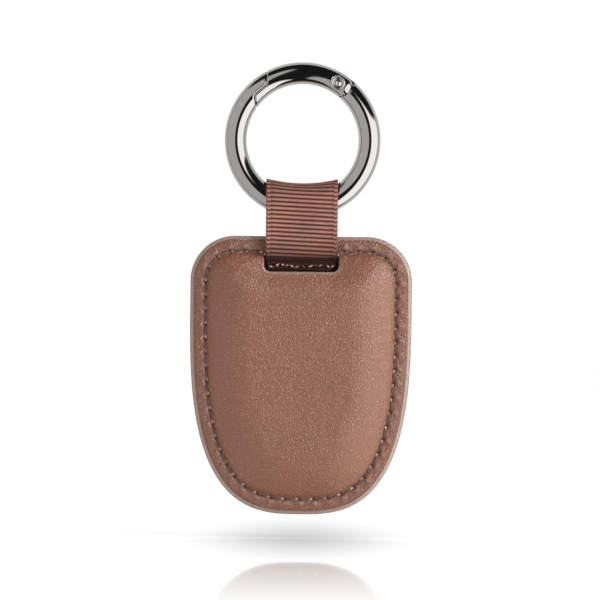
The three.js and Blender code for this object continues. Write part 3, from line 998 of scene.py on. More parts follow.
    def gate(self) -> bpy.types.Object:
        """Swinging part of the ring: a fork at the hinge and a nose at the latch."""
        piece = self.wire_solid("ring_gate")
        ends = self.gate_outline(0.0)
        carve(piece, self.block(ends, self.clear), Carve.KEEP)
        fork = self.round_end(-(self.heel + 5.0), self.fork_end, self.fork_end)
        carve(piece, self.block(fork, self.fork), Carve.AWAY)
        floor = self.wire - self.seat_depth
        for low, high in ((-self.clear, -floor), (floor, self.clear)):
            carve(piece, self.plug(self.seat, low, high), Carve.AWAY)
        self.soften(piece, ends, True)
        return piece

    def hinge_rivet(self) -> bpy.types.Object:
        """Headed rivet with a turned rim and a domed button in its hollow."""
        face = self.wire
        button = [(0.0, 0.06), (0.2, 0.075), (0.4, 0.125), (0.57, 0.2), (0.7, 0.3), (0.8, 0.41)]
        hollow = [(0.87, 0.44), (0.95, 0.41), (1.05, 0.29), (1.13, 0.15), (1.2, 0.055), (1.28, 0.005)]
        rim = [(1.36, 0.0), (1.44, 0.04), (self.rivet, 0.12), (self.rivet, 0.45), (0.9, 0.45)]
        half = [(radius, face - sunk) for radius, sunk in button + hollow + rim]
        profile = np.array(half + [(r, -y) for r, y in reversed(half)])
        turn = full_turn(self.pin_sides)
        points = np.stack([
            self.pin[0] + profile[:, :1] * np.cos(turn), np.repeat(profile[:, 1:], len(turn), 1),
            self.pin[1] + profile[:, :1] * np.sin(turn)], -1)
        skin = grid_skin(points, np.arange(len(profile)), np.zeros(len(turn) + 1), (False, True))
        return make_piece("hinge_pin", skin, [], 55.0)

    def spring_line(self) -> tuple[np.ndarray, np.ndarray]:
        """Foot of the spring on the tongue's nose, and the direction it pushes in."""
        foot = self.from_pin(self.tongue[2] + self.coil_foot[0], self.coil_foot[1])
        tilt = math.radians(self.hinge + 90.0 + self.coil_tilt)
        return np.array([foot[0], 0.0, foot[1]]), np.array([math.cos(tilt), 0.0, math.sin(tilt)])

    def coil(self) -> bpy.types.Object:
        """Compression spring between the tongue's nose and the gate."""
        wire = self.coil_wire
        start, axis = self.spring_line()
        up = np.cross(axis, [0.0, 1.0, 0.0])
        share = np.linspace(0, 1, 200)
        turn = 2 * np.pi * self.coil_turns * share[:, None]
        outward = np.cos(turn) * np.array([[0.0, 1.0, 0.0]]) + np.sin(turn) * up
        run = wire / 2 + (self.spring - wire) * share[:, None]
        path = start + run * axis + self.coil_radius * outward
        end = np.minimum(share, share[::-1]) * 200
        size = wire / 2 * np.sqrt(np.clip(end / 2, 0.02, 1))
        return make_piece("gate_coil", tube_skin(path, outward, size, False, 10), [])

    def build(self, finishes: Finishes) -> None:
        """Makes the ring's pieces, dresses them and sets them on their bodies."""
        rows = [
            (self.body(), "ring", "ring_body", "gunmetal", finishes.gunmetal),
            (self.gate(), "gate", "gate", "gunmetal", finishes.gunmetal),
            (self.hinge_rivet(), "ring", "hinge_rivet", "gunmetal", finishes.rivet),
            (self.coil(), "gate", "gate_spring", "spring_steel", finishes.spring),
        ]
        for piece, body, node, slot, material in rows:
            dress(piece, material)
            settle(piece, body, node)
        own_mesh(rows[-1][0])


def rounded(before: np.ndarray, corner: np.ndarray, after: np.ndarray, radius: float) -> list[np.ndarray]:
    """Replaces a corner of an outline by an arc.

    Args:
        before: Point before the corner.
        corner: The corner.
        after: Point after the corner.
        radius: Radius of the arc.

    Returns:
        Points of the arc.
    """
    back, ahead = unit(before - corner), unit(after - corner)
    half = math.acos(float(np.clip(back @ ahead, -1, 1))) / 2
    centre = corner + unit(back + ahead) * radius / math.sin(half)
    start, end = (corner + way * radius / math.tan(half) - centre for way in (back, ahead))
    sweep = math.acos(float(np.clip(start @ end / radius**2, -1, 1)))
    share = np.linspace(0, 1, 9)[:, None]
    return list(centre + (np.sin((1 - share) * sweep) * start + np.sin(share * sweep) * end) / math.sin(sweep))


def merged(base: bpy.types.Object, other: bpy.types.Object) -> bpy.types.Object:
    """Adds another piece's mesh to a piece.

    Args:
        base: The piece that stays.
        other: The piece that is used up.

    Returns:
        The piece that stays.
    """
    points, faces = [], []
    for shape in (base.data, other.data):
        shift = sum(map(len, points))
        points.append(points_of(shape))
        faces += [tuple(i + shift for i in p.vertices) for p in shape.polygons]
    name = base.name
    for spent in (base, other):
        bpy.data.objects.remove(spent)
    return make_piece(name, bare_skin(np.vstack(points), faces), [], METAL_CREASE)


def settle(piece: bpy.types.Object, body: str, node: str) -> None:
    """Sets a finished piece on its body in the place of its solid.

    Args:
        piece: The piece.
        body: Body that it moves with.
        node: Solid that it stands for.
    """
    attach(piece, body)
    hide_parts(node)
    LOG.info("%s rides on %s and stands for %s", piece.name, body, node)


# Ribbon


@dataclass
class RibbonLoop:
    """Ribbed ribbon round the ring and the fob's bridge, its ends sewn together below it."""

    width: float = 16.0
    thick: float = 0.8
    ring_turn: float = 2.7
    seat: float = -9.355
    sag: float = 1.05
    bridge: float = -23.5
    bridge_turn: float = 2.552
    foot: float = -29.2
    rib: float = 0.955
    rib_height: float = 0.26
    skew: float = 0.045
    selvedge: float = 1.1
    corner: float = 1.4
    seam: float = -28.03
    stitch: float = 1.3
    thread: float = 0.45
    tail_shade: tuple[float, float, float] = (3.6, 5.0, 8.5)

    def strip(self, x: float, count: int) -> tuple[np.ndarray, np.ndarray, float]:
        """Middle line of the ribbon, at one place across it, from its front end to its back end.

        Args:
            x: Place across the ribbon.
            count: Number of points wanted.

        Returns:
            Points in Y and Z, their places along the ribbon, and its length here.
        """
        half = self.thick / 2
        top, low = self.ring_turn + half, self.bridge_turn + half
        fall = self.sag * (1 - (2 * x / self.width) ** 2)
        crown = self.seat - fall - self.ring_turn
        foot = self.foot + self.trim(x)
        front = [(-half, foot), (-half, self.bridge - low - 0.25), *arc((0.0, self.bridge), low, 255, 180, 24)]
        over = arc((0.0, crown), top, 180, 90, 24)
        line = np.array(front + over)
        line = np.vstack([line, line[-2::-1] * [-1, 1]])
        path = spread(line, np.linspace(0, lengths_along(line)[-1], 1600))
        reach = 12
        window = np.hanning(2 * reach + 1) / np.hanning(2 * reach + 1).sum()
        padded = np.vstack([np.repeat(path[:1], reach, 0), path, np.repeat(path[-1:], reach, 0)])
        soft = np.stack([np.convolve(padded[:, k], window, "valid") for k in range(2)], -1)
        length = float(lengths_along(soft)[-1])
        place = np.linspace(0, length, count)
        return spread(soft, place), place, length

    def trim(self, x: float) -> float:
        """Height cut off the tail's corners at a place across the ribbon."""
        past = max(0.0, abs(x) - (self.width / 2 - self.corner))
        return self.corner - math.sqrt(max(self.corner**2 - past**2, 0.0))

    def relief(self, x: np.ndarray, place: np.ndarray) -> np.ndarray:
        """Share of the full rib height at places across and along the ribbon."""
        course = (place + self.skew * x) / self.rib
        rib = np.abs(np.sin(np.pi * course)) ** 1.7
        inward = np.abs(x) - (self.width / 2 - self.selvedge)
        loop = np.abs(np.sin(np.pi * (course + 0.9 * np.clip(inward, 0, None) / self.selvedge))) ** 1.2
        share = np.clip(inward / 0.15, 0, 1)
        gutter = 1 - 0.25 * bump(inward, 0.0, 0.13)
        return ((1 - share) * rib + share * loop) * gutter

    def band(self, finishes: Finishes) -> bpy.types.Object:
        """The ribbon itself, ribbed on both faces."""
        edge = self.width / 2
        inside = np.linspace(-edge + self.selvedge + 0.1, edge - self.selvedge - 0.1, 29)
        outside = np.linspace(edge - self.selvedge, edge, 10)
        across = np.concatenate([-outside[::-1], inside, outside])
        rows = 640
        lines = [self.strip(x, rows) for x in across]
        path = np.stack([line for line, _, _ in lines], 1)
        place = np.stack([spot for _, spot, _ in lines], 1)
        length = np.array([size for _, _, size in lines])
        longest = length.max()
        course = place + (longest - length) * ease(place / length, 0.36, 0.64)
        tangent = unit(np.gradient(path, axis=0))
        outward = np.stack([-tangent[..., 1], tangent[..., 0]], -1)
        x = np.repeat(across[None], rows, 0)
        crown = self.relief(x, course)
        roll = rounded_drop(edge - np.abs(x), 0.35, 0.24)
        lift = self.thick / 2 - self.rib_height * (1 - crown) - roll
        faces = [np.concatenate([x[..., None], path + sign * lift[..., None] * outward], -1) for sign in (1, -1)]
        points = np.concatenate([faces[0], faces[1][:, ::-1]], 1)
        both = np.concatenate([across, across[::-1]])
        skin = grid_skin(points, np.zeros(rows), np.append(both, both[0]), (False, True))

        def on_both(values: np.ndarray) -> np.ndarray:
            """Values of the front face and of the back face, point by point."""
            return np.concatenate([values, values[:, ::-1]], 1).ravel()

        corner = np.fromiter((i for face in skin.faces for i in face), int)
        skin.corners = np.stack([on_both(x)[corner], on_both(course)[corner]], -1)
        columns = points.shape[1]
        for row, turn in ((0, 1), (rows - 1, -1)):
            skin.cap((row * columns + np.arange(columns)[::turn]).tolist())
        piece = make_piece("ribbon_band", skin, [finishes.ribbon], 75.0)
        # Painted shade: the "crown" mark darkens the rib hollows, the tail ends that sit in the slot, and the turn
        # over the ring.
        from_end = np.minimum(place, length - place)
        dark, dim, full = self.tail_shade
        light = crown * (0.06 + 0.94 * ease(from_end, dark, dim) * (0.55 + 0.45 * ease(from_end, dim, full)))
        light *= 0.6 + 0.4 * ease(np.abs(place - length / 2), 2.0, 5.0)
        mark(piece, "crown", on_both(light))
        self.length = float(longest)
        return piece

    def tail_stitches(self, finishes: Finishes) -> bpy.types.Object:
        """Row of stitches that joins the ribbon's two ends."""
        reach = self.width / 2 - 0.3
        count = round(2 * reach / self.stitch)
        place = np.linspace(0, count, 18 * count + 1)
        dip = np.abs(np.sin(np.pi * place)) ** 0.6
        knot = np.arange(count + 1)
        sway = np.interp(place, knot, 0.6 * (-1.0) ** knot * (0.1 + 0.9 * stray(knot, 0.0)))
        shift = np.interp(place, knot, 0.7 * (stray(knot, 1.0) - 0.5) * (knot % count > 0))
        run = -reach + 2 * reach * place / count + shift
        path = np.stack([run, -(self.thick - 0.3 + 0.42 * dip), self.seam + sway], -1)
        up = np.repeat([[0.0, -1.0, 0.0]], len(path), 0)
        end = np.clip(np.minimum(place, place[::-1]) * 6, 0.05, 1)
        skin = tube_skin(path, up, self.thread / 2 * np.sqrt(end), False, plies=3, lay=1.3)
        piece = make_piece("tail_stitches", skin, [finishes.tail_thread], THREAD_CREASE)
        spot = 0.3 + 0.4 * stray(np.floor(place), 3.0)
        # Painted glints: a light spot on some stitches of the tail.
        glint = bump(place % 1, spot, 0.17) * ease(stray(np.floor(place), 2.0), 0.0, 0.7)
        mark(piece, "tip", np.repeat(glint, THREAD_SIDES))
        return piece

    def build(self, finishes: Finishes) -> None:
        """Makes the ribbon and its stitches and sets them on their body."""
        band = self.band(finishes)
        stitches = self.tail_stitches(finishes)
        settle(band, "ribbon", "ribbon_loop")
        settle(stitches, "ribbon", "ribbon_seam_thread")


# Leather fob


@dataclass(frozen=True)
class FobOutline:
    """Outline of the fob: flat top, round corners, sides that run into a full round tail."""

    width: float = 49.4
    height: float = 62.0
    top: float = -21.5
    corner: float = 10.0
    widest: float = 16.0
    fullness: float = 2.88

    def loop(self, count: int) -> np.ndarray:
        """Evenly spaced points, counter-clockwise from the top's middle."""
        side = self.width / 2
        half = [(0.0, 0.0), *arc((side - self.corner, -self.corner), self.corner, 90, 0, 60)]
        turn = np.linspace(0, np.pi / 2, 400)
        power, tail = 2 / self.fullness, self.height - self.widest
        x = side * np.maximum(np.cos(turn), 0) ** power
        half += list(zip(x, -self.widest - tail * np.sin(turn) ** power))
        right = np.array(half)
        whole = np.vstack([right * [-1, 1], right[-2:0:-1]]) + [0.0, self.top]
        return resampled(whole, count)


@dataclass(frozen=True)
class RibbonSlot:
    """Slot through the fob for the ribbon."""

    half_width: float = 8.3
    top: float = -25.5
    foot: float = -29.4
    corner: float = 1.4
    top_corner: float = 0.4

    def loop(self, grow: float, count: int) -> np.ndarray:
        """Evenly spaced points of the slot's edge, grown by a distance, counter-clockwise."""
        side, low, high = self.half_width, self.foot + self.corner, self.top - self.top_corner
        points: list[tuple[float, float]] = []
        for sign, start in ((1, -90), (-1, 180)):
            lower = arc((sign * (side - self.corner), low), self.corner + grow, start, start + 90, 10)
            upper = arc((sign * (side - self.top_corner), high), self.top_corner + grow, start + 90 * sign,
                        start + 90 + 90 * sign, 8)
            points += lower + upper if sign > 0 else upper + lower
        return resampled(np.array(points), count)

    def distance(self, spots: np.ndarray) -> np.ndarray:
        """Distance of each spot from the slot's edge, below nought inside it."""
        edge = self.loop(0.0, 240)
        gap, _ = nearest_on_loop(spots, edge)
        across, level = np.abs(spots[:, 0]), spots[:, 1]
        aside, below = across - (self.half_width - self.corner), self.foot + self.corner - level
        cut = (aside > 0) & (below > 0) & (np.hypot(aside, below) > self.corner)
        within = (across <= self.half_width) & (level < self.top) & (level > self.foot)
        return np.where(within & ~cut, -gap, gap)


@dataclass
class LeatherFob:
    """Two leather panels over a board and a foam pad, sewn together round the edge."""

    outline: FobOutline = field(default_factory=FobOutline)
    slot: RibbonSlot = field(default_factory=RibbonSlot)
    rim: float = 1.2
    board: float = 0.2
    edge_width: float = 3.0
    edge_roll: float = 0.62
    edge_bevel: float = 0.38
    edge_band: float = 0.75
    slot_round: float = 0.45
    rise: float = 3.6
    shoulder: float = 10.0
    pad_start: float = 3.8
    slot_flat: float = 1.0
    slot_shoulder: float = 5.0
    slot_share: float = 0.75
    margin: float = 3.4
    stitch: float = 3.2
    thread: float = 0.38
    groove: float = 0.42
    pucker: float = 0.5
    pull: float = 0.65
    needle: float = 0.34
    needle_depth: float = 0.3
    foam_inset: float = 6.2
    foam_gap: float = 3.3
    foam_middle: float = -52.0
    mesh_pitch: float = 0.62

    def __post_init__(self) -> None:
        """Lays out the outline, the seam and its stitches."""
        self.edge = self.outline.loop(900)
        self.seam = resampled(inset_loop(self.edge, self.margin), 900)
        self.stitches = round(loop_length(self.seam) / self.stitch)
        self.pitch = loop_length(self.seam) / self.stitches

    def height(self, spots: np.ndarray, side: Side) -> np.ndarray:
        """Height of a panel's face over the plane of its rim.

        Args:
            spots: Places in X and Z.
            side: Which panel.

        Returns:
            The heights.
        """
        inset = self.from_edge(spots)
        along, to_hole = self.along_seam(spots)
        beside = np.maximum(self.slot.distance(spots), 0)
        across = inset - self.margin
        by_hole = bump(to_hole, 0.0, self.pull)
        near_slot = cushion(beside, 1.0)
        height = -self.edge_roll * np.clip(1 - inset / self.edge_width, 0, 1) ** 1.25
        height -= self.edge_bevel * np.clip(1 - inset / self.edge_band, 0, 1)
        height -= rounded_drop(beside, self.slot_round, self.slot_round)
        height -= self.needle_depth * bump(across, 0.0, self.needle) * bump(to_hole, 0.0, self.needle)
        height -= self.groove * bump(across, 0.0, 0.62) * (0.6 + 0.4 * by_hole) * (0.4 + 0.6 * near_slot)
        lift = self.pucker * bump(across, -1.0, 0.5) + 0.4 * self.pucker * bump(across, 0.9, 0.5)
        uneven = 0.7 + 0.3 * np.sin(along * 0.83) * np.sin(along * 0.31 + 1.0)
        height += lift * (by_hole - 0.45) * uneven * near_slot
        if side is Side.FRONT:
            padding = cushion(inset - self.pad_start, self.shoulder)
            by_slot = cushion(beside - self.slot_flat, self.slot_shoulder)
            height += self.rise * padding * (self.slot_share + (1 - self.slot_share) * by_slot)
        return height

    def from_edge(self, spots: np.ndarray) -> np.ndarray:
        """Distance of each spot from the fob's edge."""
        return nearest_on_loop(spots, self.edge)[0]

    def along_seam(self, spots: np.ndarray) -> tuple[np.ndarray, np.ndarray]:
        """Place of each spot along the seam, and how far along it the next needle hole is."""
        _, along = nearest_on_loop(spots, self.seam)
        share = along / self.pitch
        return along, (share - np.round(share)) * self.pitch

    def spots(self) -> tuple[np.ndarray, int, int]:
        """Spreads the points of a panel's face: rings along the edge, rings round the slot, a field between.

        Returns:
            The spots, and how many of them lie on the edge and on the slot's edge.
        """
        ring = 700
        by_edge = [0.0, 0.05, 0.14, 0.28, 0.48, 0.66, 0.76, 0.86, 0.98, 1.12, 1.4, 1.8, 2.2, 2.55]
        by_seam = [2.8, 3.02, 3.22, 3.4, 3.58, 3.78, 4.0, 4.28, 4.6, 5.0, 5.45]
        insets = by_edge + by_seam
        fine = self.outline.loop(2 * ring)
        rims = [inset_loop(fine, inset)[k % 2 :: 2] for k, inset in enumerate(insets)]
        grows = [0.0, 0.05, 0.13, 0.25, 0.42, 0.65, 0.95, 1.3]
        slots = [self.slot.loop(grow, 150)[::-1] for grow in grows]
        low, high = self.edge.min(0), self.edge.max(0)
        pitch = self.mesh_pitch
        rows = np.arange(low[1], high[1], pitch * math.sqrt(0.75))
        field_spots = np.array([(x + (k % 2) * pitch / 2, z) for k, z in enumerate(rows)
                                for x in np.arange(low[0], high[0], pitch)])
        inside = self.from_edge(field_spots) > insets[-1] + 0.35
        inside &= np.array([self.holds(p) for p in field_spots])
        loose = np.vstack([*rims[1:], field_spots[inside]])
        loose = loose[self.slot.distance(loose) > grows[-1] + 0.2]
        around = np.vstack(slots[1:])
        around = around[self.from_edge(around) > 0.5]
        return np.vstack([rims[0], slots[0], loose, around]), len(rims[0]), len(slots[0])

    def holds(self, spot: np.ndarray) -> bool:
        """Whether a spot is inside the outline, which is convex."""
        ahead = np.roll(self.edge, -1, 0) - self.edge
        away = spot - self.edge
        return bool((ahead[:, 0] * away[:, 1] - ahead[:, 1] * away[:, 0]).min() > 0)

    def panel(self, name: str, side: Side, finishes: Finishes) -> bpy.types.Object:
        """One leather panel with its rounded edge and the walls of its slot.

        Args:
            name: Name of the piece.
            side: Which panel.
            finishes: Materials.

        Returns:
            The piece.
        """
        spots, rim_count, slot_count = self.spots()
        sign = side.value
        ring = [(i, (i + 1) % rim_count) for i in range(rim_count)]
        hole = [(rim_count + i, rim_count + (i + 1) % slot_count) for i in range(slot_count)]
        made = delaunay_2d_cdt([Vector(p) for p in spots], ring + hole, [], 0, 1e-6)
        flat = np.array([tuple(p) for p in made[0]])
        faces = np.array([tuple(f) for f in made[2]])
        back_to = {old: new for new, olds in enumerate(made[3]) for old in olds}
        faces = faces[self.slot.distance(flat[faces].mean(1)) > 0]
        top = raised(flat, sign * (self.rim + self.height(flat, side)))
        if side is Side.BACK:
            faces = faces[:, ::-1]
        worn = self.from_edge(flat[faces].mean(1)) < 0.1
        skin = bare_skin(top, faces.tolist(), worn.astype(int).tolist())
        rim = np.array([back_to[i] for i in range(rim_count)])
        slot = np.array([back_to[rim_count + i] for i in range(slot_count)])
        for loop in (rim, slot[::-1]):
            skin = skin.joined(self.wall(top[loop], sign))
        piece = make_piece(name, skin, [finishes.leather, finishes.cut_edge], LEATHER_CREASE)
        self.wear(piece, flat, 5 * slot_count)
        return piece

    def wear(self, piece: bpy.types.Object, flat: np.ndarray, walls: int) -> None:
        """Marks a panel's lighter edge band, partly painted sheen, and the shade painted dark along its bevel, seam,
        needle holes, rim and slot walls.

        Args:
            piece: The panel.
            flat: Places of the points of its face, which come first.
            walls: How many of its last points are the slot's wall.
        """
        count = len(piece.data.vertices)
        edge, crease = np.ones(count), np.zeros(count)
        inset, beside = self.from_edge(flat), self.slot.distance(flat)
        # Painted highlight along the slot's lower lip, which faces up.
        lip = (1 - ease(beside, 0.3, 0.5)) * ease(self.slot.foot + 1.8 - flat[:, 1], 0.0, 1.0)
        edge[: len(flat)] = np.maximum(1 - ease(inset, self.edge_band - 0.08, self.edge_band + 0.04), lip)
        # Painted shade: dark needle holes, a dark line inside the bevel and beside the seam, and a slightly darker
        # rim.
        hole = bump(inset, self.margin, self.needle) * bump(self.along_seam(flat)[1], 0.0, self.needle)
        by_bevel = 0.35 * bump(inset, self.edge_band + 0.22, 0.16)
        by_seam = 0.45 * bump(inset, self.margin - 0.24, 0.17) * (beside > 0.3)
        on_rim = ease(inset, self.edge_band, self.edge_band + 0.3) * (1 - ease(inset, self.margin, self.margin + 1.5))
        crease[: len(flat)] = np.maximum(by_bevel + by_seam + 0.17 * on_rim, hole)
        # The slot walls are painted near black as shade.
        edge[-walls:], crease[-walls:] = 0.0, 0.85
        mark(piece, "edge", edge)
        mark(piece, "crease", crease)

    def wall(self, top: np.ndarray, sign: int) -> Skin:
        """Cut wall of a leather panel below a loop of its face, with a turn under it.

        Args:
            top: The loop, with the leather to its left.
            sign: Sign of the panel's Y.

        Returns:
            The wall's skin.
        """
        flat = top[:, [0, 2]]
        loops = [top]
        for inset, y in ((0.0, self.board + 0.12), (0.08, self.board + 0.02), (0.3, self.board), (1.2, self.board)):
            loops.append(raised(inset_loop(flat, inset), sign * y))
        grid = np.stack(loops)
        if sign > 0:
            grid = grid[:, ::-1]
        return grid_skin(grid, np.arange(len(loops)), np.zeros(len(top) + 1), (False, True), 1)

    def sewing(self, name: str, side: Side, finishes: Finishes) -> bpy.types.Object:
        """Thread of the perimeter seam on one face.

        Args:
            name: Name of the piece.
            side: Which face.
            finishes: Materials.

        Returns:
            The piece.
        """
        steps = 20
        count = self.stitches * steps
        path = resampled(self.seam, count)
        share = np.arange(count) / steps
        dip = np.abs(np.sin(np.pi * share)) ** 0.55
        slant = (0.25 + 0.35 * stray(np.floor(share), 0.0)) * (share % 1 - 0.5) * dip
        aside = 0.14 * (stray(np.floor(share), 1.0) - 0.5) * dip
        path = path + (slant + aside)[:, None] * (inset_loop(path, 1.0) - path)
        level = self.rim + self.height(path, side) - 0.36 + 0.48 * dip
        line = raised(path, side.value * level)
        up = np.repeat([[0.0, float(side.value), 0.0]], count, 0)
        size = np.full(count, self.thread / 2)
        skin = tube_skin(line, up, size, True, plies=3, lay=1.4)
        piece = make_piece(name, skin, [finishes.thread], THREAD_CREASE)
        # Painted glints beside each needle hole, brighter on some stitches.
        glint = bump(share % 1, 0.85, 0.09) * (0.35 + 0.65 * stray(np.floor(share), 2.0))
        mark(piece, "tip", np.repeat(glint, THREAD_SIDES))
        return piece

    def foam(self, finishes: Finishes) -> bpy.types.Object:
        """Foam pad between the front panel and the board."""
        edge = resampled(inset_loop(self.edge, self.foam_inset), 240)
        keep, level = self.foam_gap, edge[:, 1]
        aside = np.abs(edge[:, 0]) - self.slot.half_width
        limit = self.slot.foot - np.sqrt(keep**2 - np.clip(aside, 0, keep) ** 2)
        edge[:, 1] = np.where((aside < keep) & (level > limit - 1), np.minimum(level, limit), level)
        middle = np.array([0.0, self.foam_middle])
        shares = np.concatenate([[0.0, 0.01], np.linspace(0.05, 0.97, 16)])
        rings = []
        for share in shares:
            flat = edge + (middle - edge) * share
            inset, beside = self.from_edge(flat), self.slot.distance(flat)
            crown = cushion(inset - self.pad_start - 1.0, self.shoulder)
            crown *= cushion(beside - self.slot_flat - 1.0, self.slot_shoulder)
            y = -self.board - np.maximum(self.rise * crown - 0.35, 0.06) * min(1.0, 0.4 + share * 60)
            rings.append(raised(flat, y))
        base = [raised(ring[:, [0, 2]], -self.board) for ring in (rings[0], rings[-1])]
        grid = np.stack([base[1], base[0], *rings])
        skin = grid_skin(grid, np.arange(len(grid)), np.zeros(len(edge) + 1), (False, True))
        last = (len(grid) - 1) * len(edge) + np.arange(len(edge))
        for loop in (np.arange(len(edge))[::-1], last):
            skin.cap(loop.tolist())
        return make_piece("foam_fill", skin, [finishes.foam], LEATHER_CREASE)

    def build(self, finishes: Finishes, nodes: dict[str, bpy.types.Object]) -> list[bpy.types.Object]:
        """Makes the fob's pieces, dresses them and sets them on their body.

        Args:
            finishes: Materials.
            nodes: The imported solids, by name.

        Returns:
            The two leather panels.
        """
        front = self.panel("front_cover", Side.FRONT, finishes)
        back = self.panel("back_cover", Side.BACK, finishes)
        foam = self.foam(finishes)
        settle(front, "fob", "front_panel")
        settle(back, "fob", "back_panel")
        settle(foam, "fob", "foam_pad")
        settle(self.sewing("needle_stitches", Side.FRONT, finishes), "fob", "needle_thread")
        settle(self.sewing("bobbin_stitches", Side.BACK, finishes), "fob", "bobbin_thread")
        dress(nodes["core_board"], finishes.board)
        return [front, back]


# Studio


@dataclass
class Studio:
    """Pale floor, soft light all round and the camera in front."""

    floor: float = -88.9
    reach: float = 4000.0
    lit: tuple[float, float] = (312.5, 833.3)
    frame: float = 133.93
    centre: tuple[float, float] = (-0.216, -35.68)
    distance: float = 1300.0
    roll: float = -0.6
    softbox: float = 2.2
    card: float = 0.86
    sweep: float = 1.0
    dark: float = 0.022
    key: tuple[float, float] = (5.8, 60.0)
    sheen: tuple[float, float] = (7.0, 48.0)
    panel: tuple[float, float] = (400.0, 500.0)
    panel_away: float = 900.0
    panel_rise: float = 25.0
    strip: tuple[float, float, float, float] = (200.0, 1000.0, 160.0, 2.2)
    glow: float = 0.63
    # Depth, half width and half depth of the painted shadow oval on the floor.
    shade: tuple[float, float, float] = (0.31, 27.0, 165.0)
    mirror: float = 0.58

    def camera(self) -> None:
        """Sets the camera straight in front of the fob."""
        data = bpy.data.cameras.new("front_camera")
        data.sensor_width = 36.0
        data.lens = 36.0 * self.distance / self.frame
        data.clip_start, data.clip_end = 0.01, 20.0
        camera = bpy.data.objects.new("front_camera", data)
        camera.location = (self.centre[0] * MM, -self.distance * MM, self.centre[1] * MM)
        camera.rotation_euler = (math.pi / 2, math.radians(self.roll), 0.0)
        bpy.context.scene.collection.objects.link(camera)
        bpy.context.scene.camera = camera

    def light(self) -> None:
        """Lights the scene from a bright box at the right, a grey card at the left and a white sweep behind."""
        world = bpy.data.worlds.new("studio")
        bpy.context.scene.world = world
        graph = fresh_graph(world)
        x, y, z = graph.split(graph.node("ShaderNodeTexCoord").outputs["Generated"])
        turn = graph.math("ARCTAN2", x, graph.product(y, -1.0))
        rise = graph.math("ARCSINE", z)

        def window(value: Value, low: float, high: float, soft: float) -> bpy.types.NodeSocket:
            """One between two angles in degrees, with soft ends."""
            low, high, soft = map(math.radians, (low, high, soft))
            start = graph.ramp(value, low - soft, low + soft)
            return graph.product(start, graph.ramp(value, high - soft, high + soft, 1.0, 0.0))

        right = graph.product(window(turn, 20.0, 96.0, 2.5), window(rise, -62.0, 18.0, 3.0))
        left = graph.product(window(turn, -97.0, -6.0, 2.5), window(rise, -62.0, 45.0, 4.0))
        behind = graph.ramp(y, 0.15, 0.24)
        total = graph.total((right, self.softbox), (left, self.card), (behind, self.sweep))
        total = graph.math("ADD", total, self.dark)
        shade = graph.node("ShaderNodeBackground", {"Color": WHITE, "Strength": total})
        white = graph.node("ShaderNodeBackground", {"Color": WHITE, "Strength": 1.0})
        seen = graph.node("ShaderNodeLightPath").outputs["Is Camera Ray"]
        mix = graph.node("ShaderNodeMixShader", {0: seen, 1: shade.outputs[0], 2: white.outputs[0]})
        graph.node("ShaderNodeOutputWorld", {"Surface": mix.outputs[0]})

    def ground(self) -> None:
        """Lays the pale, faintly glossy floor, with a soft shadow oval painted into its glow below the ring."""
        corners = ((-1, -1), (1, -1), (1, 1), (-1, 1))
        points = np.array([(x * self.reach, y * self.reach, self.floor) for x, y in corners])
        material = bpy.data.materials.new("pale_floor")
        graph = fresh_graph(material)
        across, depth, _ = graph.split(graph.place())
        aside = graph.math("ABSOLUTE", across)
        seen = graph.node("ShaderNodeLightPath").outputs["Is Camera Ray"]

        def away(wide: float, deep: float) -> bpy.types.NodeSocket:
            """Distance from below the ring, counted in an oval's half width and half depth."""
            spot = graph.vector("MULTIPLY", graph.place(), (1.0 / (wide * MM), 1.0 / (deep * MM), 0.0))
            return graph.node("ShaderNodeVectorMath", {0: spot}, operation="LENGTH").outputs["Value"]

        # Painted shadow: a soft oval darkens the floor's glow under the ring, whatever the model's pose.
        darkest, wide, deep = self.shade
        far = away(*self.lit)
        lift = graph.math("ADD", graph.ramp(far, 0.24, 1.0, 0.0, 0.88), graph.ramp(aside, 0.0, 0.075, 0.0, 0.015))
        lift = graph.product(lift, seen)
        lift = graph.math("ADD", lift, graph.ramp(far, 0.24, 1.0, self.glow, 0.0))
        lift = graph.math("SUBTRACT", lift, graph.ramp(away(wide, deep), 0.0, 1.0, darkest, 0.0))
        paper = graph.node("ShaderNodeBsdfDiffuse", {"Color": (0.2, 0.2, 0.2)})
        glow = graph.node("ShaderNodeEmission", {"Color": WHITE, "Strength": lift})
        gloss = graph.node("ShaderNodeBsdfGlossy", {"Color": WHITE, "Roughness": 0.03})
        matt = graph.node("ShaderNodeAddShader", {0: paper.outputs[0], 1: glow.outputs[0]})
        fade = graph.product(
            graph.ramp(depth, -0.34, -0.07, 0.0, self.mirror), graph.ramp(depth, -0.115, -0.085, 1.0, 0.1),
            graph.ramp(aside, 0.021, 0.034, 1.0, 0.0))
        mix = graph.node("ShaderNodeMixShader", {0: fade, 1: matt.outputs[0], 2: gloss.outputs[0]})
        graph.node("ShaderNodeOutputMaterial", {"Surface": mix.outputs[0]})
        floor = make_piece("floor", bare_skin(points, [(0, 1, 2, 3)]), [material])
        floor.visible_glossy = False
        self.overhead(floor)

    def overhead(self, floor: bpy.types.Object) -> None:
        """Hangs a long soft strip over the model, which lights the floor alone and gives the soft shadow.

        Args:
            floor: The floor.
        """
        width, length, above, power = self.strip
        lamp = self.panel_light("top_strip", (width, length), power, Vector((0.0, 0.0, above)), Vector((0, 0, -1)))
        self.only_on(lamp, [floor])

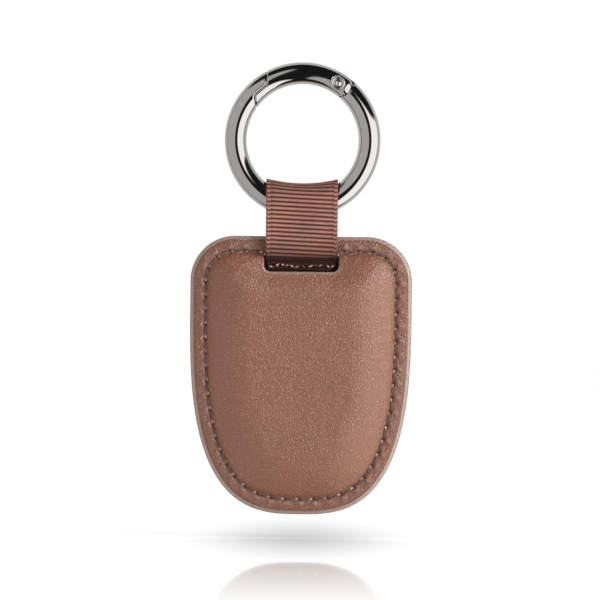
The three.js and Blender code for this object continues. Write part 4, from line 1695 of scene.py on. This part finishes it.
    def only_on(self, lamp: bpy.types.Object, pieces: Sequence[bpy.types.Object]) -> None:
        """Lets a lamp light some pieces alone."""
        lit = bpy.data.collections.new(f"lit_by_{lamp.name}")
        for piece in pieces:
            lit.objects.link(piece)
        lamp.light_linking.receiver_collection = lit

    def key_light(self, name: str, power: float, turn: float) -> bpy.types.Object:
        """Hangs a large soft panel at the right, above and in front of the model."""
        turn, rise = math.radians(turn), math.radians(self.panel_rise)
        way = Vector((math.sin(turn) * math.cos(rise), -math.cos(turn) * math.cos(rise), math.sin(rise)))
        return self.panel_light(name, self.panel, power, way * self.panel_away, -way)

    def sheen_on(self, pieces: Sequence[bpy.types.Object]) -> None:
        """Lets some pieces mirror the panel at the right."""
        lamp = self.key_light("sheen_panel", *self.sheen)
        lamp.visible_glossy, lamp.visible_diffuse = True, False
        self.only_on(lamp, pieces)

    def panel_light(
        self, name: str, size: tuple[float, float], power: float, place: Vector, aim: Vector
    ) -> bpy.types.Object:
        """Hangs a soft panel that polished metal doesn't mirror.

        Args:
            name: Name of the panel.
            size: Its width and length.
            power: Its power in watts.
            place: Its middle.
            aim: Direction that it faces.

        Returns:
            The panel.
        """
        data = bpy.data.lights.new(name, "AREA")
        data.shape = "RECTANGLE"
        data.size, data.size_y = size[0] * MM, size[1] * MM
        data.energy = power
        lamp = bpy.data.objects.new(name, data)
        lamp.location = place * MM
        lamp.rotation_euler = aim.to_track_quat("-Z", "Y").to_euler()
        lamp.visible_glossy = lamp.visible_camera = False
        bpy.context.scene.collection.objects.link(lamp)
        return lamp

    def build(self) -> None:
        """Sets up the camera, the light and the floor."""
        settings = bpy.context.scene.view_settings
        settings.view_transform = "Standard"
        settings.look = "None"
        self.camera()
        self.light()
        self.ground()
        self.key_light("key_panel", *self.key)


def main() -> None:
    """Builds the studio and each sub-assembly in order."""
    logging.basicConfig(level=logging.INFO, format="%(name)s: %(message)s")
    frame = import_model()
    studio = Studio()
    studio.build()
    finishes = Finishes()
    GatedRing().build(finishes)
    studio.sheen_on(LeatherFob().build(finishes, frame["nodes"]))
    RibbonLoop().build(finishes)


if __name__ == "__main__":
    main()
